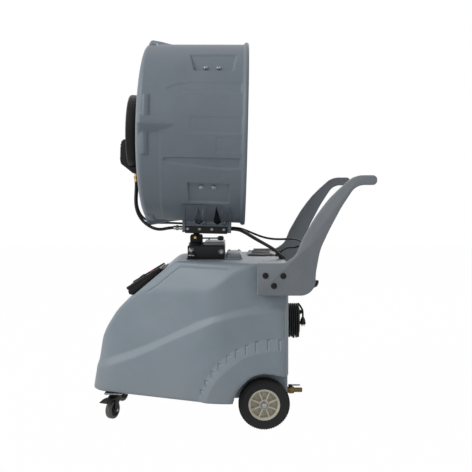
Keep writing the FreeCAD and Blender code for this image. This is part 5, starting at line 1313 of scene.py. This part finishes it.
def axle_and_nuts():
    """The rear axle, its cap nuts and washers, and the saddles that hold it to the tank's floor."""
    bm = bmesh.new()
    turned(bm, [(-306, 0), (-306, 6.6), (-304, 8), (304, 8), (306, 6.6), (306, 0)], along((0, 1, 0), AXLE), 32)
    piece(bm, "axle_bar", ZINC, "base", ["rear_axle"])
    bm = bmesh.new()
    for side in (-1, 1):
        out = Vector((0, side, 0))
        turned(bm, [(0, 17.5), (1.8, 17.5), (2.2, 16.8)], along(out, AXLE + out * 300.6), 40)
        hex_nut(bm, AXLE + out * 302.4, out, 20, 7.5)
        turned(bm, [(0, 8.6), (2, 8.2), (3.6, 6.4), (4.2, 3), (4.3, 0)], along(out, AXLE + out * 309.4), 28)
    piece(bm, "axle_nut_pair", ZINC, "base", ["axle_nuts"])
    bm = bmesh.new()
    for side in (-1, 1):
        y = side * 152
        slab(bm, [(114, 104.5), (124, 104.5), (128, 99), (132, 93.5), (144, 90.6), (156, 93.5), (160, 99), (164, 104.5),
                  (174, 104.5), (174, 109.6), (114, 109.6)], y - 13, y + 13, "XZ", 1)
        for x in (119, 169):
            hex_nut(bm, (x, y, 104.6), (0, 0, -1), 9, 4)
    piece(bm, "axle_saddles", BLACK_STEEL, "base", ["axle_clamps"])


CASTER_X, CASTER_Y = -470, 129  # the casters' swivel axes


def caster(side, hand):
    """A swivel caster with a wide brake pedal, turned as it stands after a push."""
    under = Matrix.Translation((CASTER_X, side * CASTER_Y, 0))
    swivel = under @ Matrix.Rotation(math.radians(245), 4, "Z")
    bm = bmesh.new()
    block(bm, (-37, -37, 105.4), (37, 37, 109.8), 1.6, under)
    for dx, dy in ((-27, -27), (27, -27), (-27, 27), (27, 27)):
        hex_nut(bm, (CASTER_X + dx, side * CASTER_Y + dy, 105.6), (0, 0, -1), 9.5, 3.4)
    piece(bm, f"caster_plate_{hand}", ZINC, "base", ["caster_plates"] if side < 0 else ())
    bm = bmesh.new()
    turned(bm, [(88, 0), (88, 16), (91, 20), (96, 21.5), (101, 20.5), (102, 18), (104.8, 17.6), (104.8, 0)],
           swivel @ along((0, 0, 1)), 48)
    for cheek in (-1, 1):
        y = cheek * 18.2
        slab(bm, [(-17, 92), (14, 92), (20, 84), (24, 62), (26, 44), (25, 34), (20, 29.5), (13, 30), (6, 36), (-2, 58),
                  (-14, 80)], y - 1.7, y + 1.7, "XZ", 0.8, swivel)
    block(bm, (-18, -19.6, 88), (17, 19.6, 92), 1.4, swivel)
    for k in range(5):
        low = Vector((20 - 0.8 * k, -20.2, 44 + 7 * k))
        block(bm, low, low + Vector((2.5, 1.8, 2)), 0.4, swivel, segments=1)
    piece(bm, f"caster_yoke_{hand}", BLACK_STEEL, f"caster_{hand}", [f"caster_fork_{hand}"])
    bm = bmesh.new()
    across = swivel @ along((0, 1, 0), (14, 0, 37.5))
    turned(bm, [(-21, 0), (-21, 4), (21, 4), (21, 0)], across, 20)
    for cheek in (-1, 1):
        spot = swivel @ Vector((14, cheek * 20, 37.5))
        hex_nut(bm, spot, swivel.to_3x3() @ Vector((0, cheek, 0)), 11, 5, 3.4)
    piece(bm, f"caster_bolt_{hand}", ZINC, f"caster_{hand}", [f"caster_axle_{hand}"])
    bm = bmesh.new()
    turned(bm, [(-13, 27), (-13, 33), (-11.5, 35.6), (-8, 37.1), (0, 37.5), (8, 37.1), (11.5, 35.6), (13, 33),
                (13, 27)], across, 72)
    piece(bm, f"caster_tread_{hand}", CASTER_RUBBER, f"caster_wheel_{hand}", [f"caster_wheel_{hand}"])
    bm = bmesh.new()
    turned(bm, [(-12.4, 27.6), (-12.6, 24), (-10, 22), (-9, 12), (-14, 10), (-15.4, 8), (-15.4, 4.4), (15.4, 4.4),
                (15.4, 8), (14, 10), (9, 12), (10, 22), (12.6, 24), (12.4, 27.6)], across, 64)
    for a in angles(10):
        spoke = across @ Matrix.Rotation(a, 4, "X")
        block(bm, (-11.5, -1, 10), (11.5, 1, 24), 0.4, spoke, segments=1)
    piece(bm, f"caster_hub_{hand}", BLACK_NYLON, f"caster_wheel_{hand}")
    bm = bmesh.new()
    slab(bm, [(12, 82.5), (40, 84.5), (52, 84), (66, 79.5), (79, 78.5), (80, 81.5), (67, 84.5), (54, 88), (38, 88.6),
              (12, 87)], -20, 20, "XZ", 1.3, swivel)
    for k in range(5):
        block(bm, (57 + 4.4 * k, -17, 85.2 - 1.1 * k), (59 + 4.4 * k, 17, 87.4 - 1.1 * k), 0.6, swivel, segments=1)
    turned(bm, [(-16, 0), (-16, 4.6), (16, 4.6), (16, 0)], swivel @ along((0, 1, 0), (14, 0, 80.5)), 20)
    piece(bm, f"brake_pedal_{hand}", BLACK_NYLON, f"brake_{hand}", [f"caster_brake_{hand}"])


for side, hand in SIDES:
    wheel(side, hand)
    caster(side, hand)
axle_and_nuts()


# ------------------------------------------------------------- handles
ARM_LINE = [(114.5, 540), (335.5, 540), (336, 625), (352, 716), (387, 792), (430, 874), (486, 960.5), (565.5, 960.5),
            (565.5, 997.5), (482, 997.5), (388, 913), (333, 836), (284, 750), (262, 692), (222, 664), (114.5, 664)]
ARM_RADII = [4, 57, 200, 200, 300, 300, 60, 17, 17, 80, 400, 300, 200, 60, 40, 4]


def filleted(corners, radii):
    """The outline's corners as true arcs of the given radii."""
    made = []
    for (here, before, after), radius in zip(corners_of(corners), radii):
        half = math.acos(max(-1, min(1, before.dot(after)))) / 2
        if abs(half - math.pi / 2) < 1e-3:
            made.append(tuple(here))
            continue
        reach = radius / math.tan(half)
        centre = here + (before + after).normalized() * (radius / math.sin(half))
        start, end = here + before * reach - centre, here + after * reach - centre
        sweep = start.angle(end)
        steps = max(2, int(math.degrees(sweep) / 7) + 1)
        for k in range(steps + 1):
            t = k / steps
            spot = (start * math.sin((1 - t) * sweep) + end * math.sin(t * sweep)) / math.sin(sweep)
            made.append(tuple(centre + spot))
    return made


def arm(side, hand):
    """A moulded push arm: a flat bracket that sweeps up into a rounded grip."""
    points = [Vector(p) for p in filleted(ARM_LINE, ARM_RADII)]
    inward = []
    for i in range(len(points)):
        tangent = (points[(i + 1) % len(points)] - points[i - 1]).normalized()
        inward.append(Vector((-tangent.y, tangent.x)))
    rings = []
    # (how far in from the outline, how far across the thickness); the outer edge is the rounder one
    for inset, y in ((2.4, 322), (0.7, 322.8), (0, 325), (0, 351), (0.6, 353.4), (2.2, 355.2), (4.4, 356)):
        rings.append([(p.x + n.x * inset, side * y, p.y + n.y * inset) for p, n in zip(points, inward)])
    bm = bmesh.new()
    skin(bm, rings, caps=True)
    slab(bm, [(120, 546), (196, 546), (196, 648), (120, 648)], side * 292, side * 324, "XZ", 3)
    piece(bm, f"push_arm_{hand}", ARM_PLASTIC, "base", [f"handle_{hand}"], sharp=45)
    bm = bmesh.new()
    for x, z in ARM_SCREWS:
        turned(bm, [(-1, 14.2), (0.7, 14), (0.9, 13), (0.3, 12.4), (-1, 12)],
               along((0, side, 0), (x, side * 355.8, z)), 32)
    piece(bm, f"screw_seats_{hand}", ARM_PLASTIC, "base")


for side, hand in SIDES:
    arm(side, hand)


# ------------------------------------------------------------- inside the tank
def pump():
    """A submersible pump on a strainer foot."""
    bm = bmesh.new()
    turned(bm, [(116.2, 0), (116.2, 38), (122, 38)] + [(122 + 5 * k + d, r) for k in range(6) for d, r in
           ((0, 38), (2.4, 38), (2.4, 35.5), (5, 35.5))] + [(154, 38), (200, 37), (208, 33), (212, 20), (214, 10),
           (241, 9), (241, 0)], along((0, 0, 1), (-60, 0, 0)), 48)
    turned(bm, [(0, 9.4), (57, 9.4), (57, 0)], Matrix.Translation((-60, 0, 136)), 24)
    piece(bm, "pump_shell", BLACK_NYLON, "base", ["water_pump"])


pump()


# ------------------------------------------------------------- power lead on its hook
LEAD = 0.008  # jacket of a 3-core 1.5 mm2 lead, in metres like the rest of its route
TURN_STEPS = 18  # control points in each turn
ACROSS, LAYERS = 7, 4  # turns side by side and one over another


def around(share, bend, straight):
    """A point of one turn, up the far side first: two half circles joined by straight sides."""
    run = share * (2 * math.pi * bend + 4 * straight) - straight
    if run < 0:
        return bend, run + straight
    if run < math.pi * bend:
        return bend * math.cos(run / bend), straight + bend * math.sin(run / bend)
    run -= math.pi * bend + 2 * straight
    if run < 0:
        return -bend, -straight - run
    if run < math.pi * bend:
        return -bend * math.cos(run / bend), -straight - bend * math.sin(run / bend)
    return bend, run - math.pi * bend - straight


def lead_route():
    """Out of the gland through a gap in the turns, then four layers from the inside out, then the plug's run."""
    low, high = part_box("cord_hank")
    middle_y, middle_z = (low.y + high.y) / 2, (low.z + high.z) / 2
    half_y, half_z = (high.y - low.y) / 2, (high.z - low.z) / 2
    first_x, last_x = low.x + 0.6 * LEAD, high.x - 0.55 * LEAD
    step = (last_x - first_x) / (ACROSS - 1)
    random.seed(7)
    exit_y, exit_z = (c * MM for c in LEAD_GLAND[1:])
    route = [(low.x, exit_y, exit_z), (low.x + 0.014, exit_y, exit_z), (low.x + 0.025, exit_y, exit_z),
             (low.x + 0.037, exit_y - 0.001, exit_z + 0.0015), (low.x + 0.048, exit_y - 0.005, exit_z + 0.009),
             (last_x - 0.0005, exit_y - 0.012, exit_z + 0.023)]
    for layer in range(LAYERS - 1, -1, -1):
        inset = LEAD * (0.5 + layer)
        outward = (LAYERS - 1 - layer) % 2 == 1
        for turn in range(ACROSS):
            x = first_x + turn * step if outward else last_x - turn * step
            drift = (step if outward else -step) if turn < ACROSS - 1 else 0.0
            slack = random.uniform(-0.001, 0.0075) if layer == 0 else random.uniform(-0.0006, 0.0006)
            lean = random.uniform(-0.0035, 0.0035) if layer == 0 else 0.0
            start = 3 if layer == LAYERS - 1 and turn == 0 else 0
            stop = TURN_STEPS // 4 + 1 if layer == 0 and turn == ACROSS - 1 else TURN_STEPS
            for i in range(start, stop):
                y, z = around(i / TURN_STEPS, half_y - inset, half_z - half_y)
                loose = max(0.0, -z / half_z)
                if y > 0:
                    # The turns part here, two layers to each side, and let the lead out.
                    y += (0.0065 if layer < 2 else -0.0073) * math.exp(-(z / 0.030) ** 2)
                y, z = middle_y + y, middle_z + z
                route.append((x + drift * i / TURN_STEPS + lean * loose, y, z - slack * loose))
    plug_low, plug_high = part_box("power_plug")
    plug_x, plug_y = (plug_low.x + plug_high.x) / 2, (plug_low.y + plug_high.y) / 2
    route += [(last_x, middle_y - 0.002, high.z - 0.0035), (last_x + 0.003, middle_y - 0.014, high.z - 0.007),
              (last_x + 0.009, plug_y + 0.0025, high.z - 0.0155), (plug_x - 0.001, plug_y, high.z - 0.028),
              (plug_x, plug_y, plug_high.z + 0.014), (plug_x, plug_y, plug_high.z - 0.004)]
    return route


def power_lead():
    """Eight and a half metres of rubber lead wound on the peg, with its plug, its tie and its strain relief."""
    route = lead_route()
    bm = bmesh.new()
    low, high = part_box("power_plug")
    x, y = (low.x + high.x) * 500, (low.y + high.y) * 500
    turned(bm, [(374, 0), (374, 11), (375.4, 12), (386, 12), (388, 10.6), (396, 9.6), (400, 7), (403, 6.2),
                (404.8, 5.4), (404.8, 0)], along((0, 0, 1), (x, y, 0)), 40)
    for k in range(4):
        block(bm, (x - 11.4, y - 12.2, 377 + 2.6 * k), (x + 11.4, y + 12.2, 378.4 + 2.6 * k), 0.5)
    plug = piece(bm, "plug_body", BLACK_NYLON, "base", ["power_plug"])
    bm = bmesh.new()
    for dx, dy in ((-5.6, -3.4), (5.6, -3.4), (0, 6)):
        block(bm, (x + dx - 1.7, y + dy - 1, 365.4), (x + dx + 1.7, y + dy + 1, 376), 0.5)
    pins = piece(bm, "plug_pins", BRASS, "base")
    bm = bmesh.new()
    profile = [(242, 0), (242, 7.6), (245, 7.6), (246, 6.9)]
    for k in range(5):
        r = 6.7 - 0.34 * k
        profile += [(247.5 + 3.6 * k, r), (249.7 + 3.6 * k, r - 0.1), (249.9 + 3.6 * k, r - 1), (251 + 3.6 * k, r - 1)]
    profile += [(266, 4.9), (267, 4.3), (267, 0)]
    turned(bm, profile, Matrix.Translation(LEAD_GLAND), 32)
    relief = piece(bm, "lead_strain_relief", BLACK_NYLON, "base")
    bm = bmesh.new()
    for (ax, ay), (bx, by) in (((242.4, -3), (305, -1.6)), ((242.4, 33.1), (305, 34.5)), ((303.6, -3), (305, 34.5))):
        block(bm, (ax, ay, 345), (bx, by, 359), 0.5)
    strap = piece(bm, "lead_strap", BLACK_NYLON, "base")
    cord("power_lead", route, LEAD, run_length(centreline(route)), LEAD_RUBBER, "base", "cord_hank",
         far_end="plug", lay="coiled", with_pieces=[plug, pins, relief, strap])


power_lead()
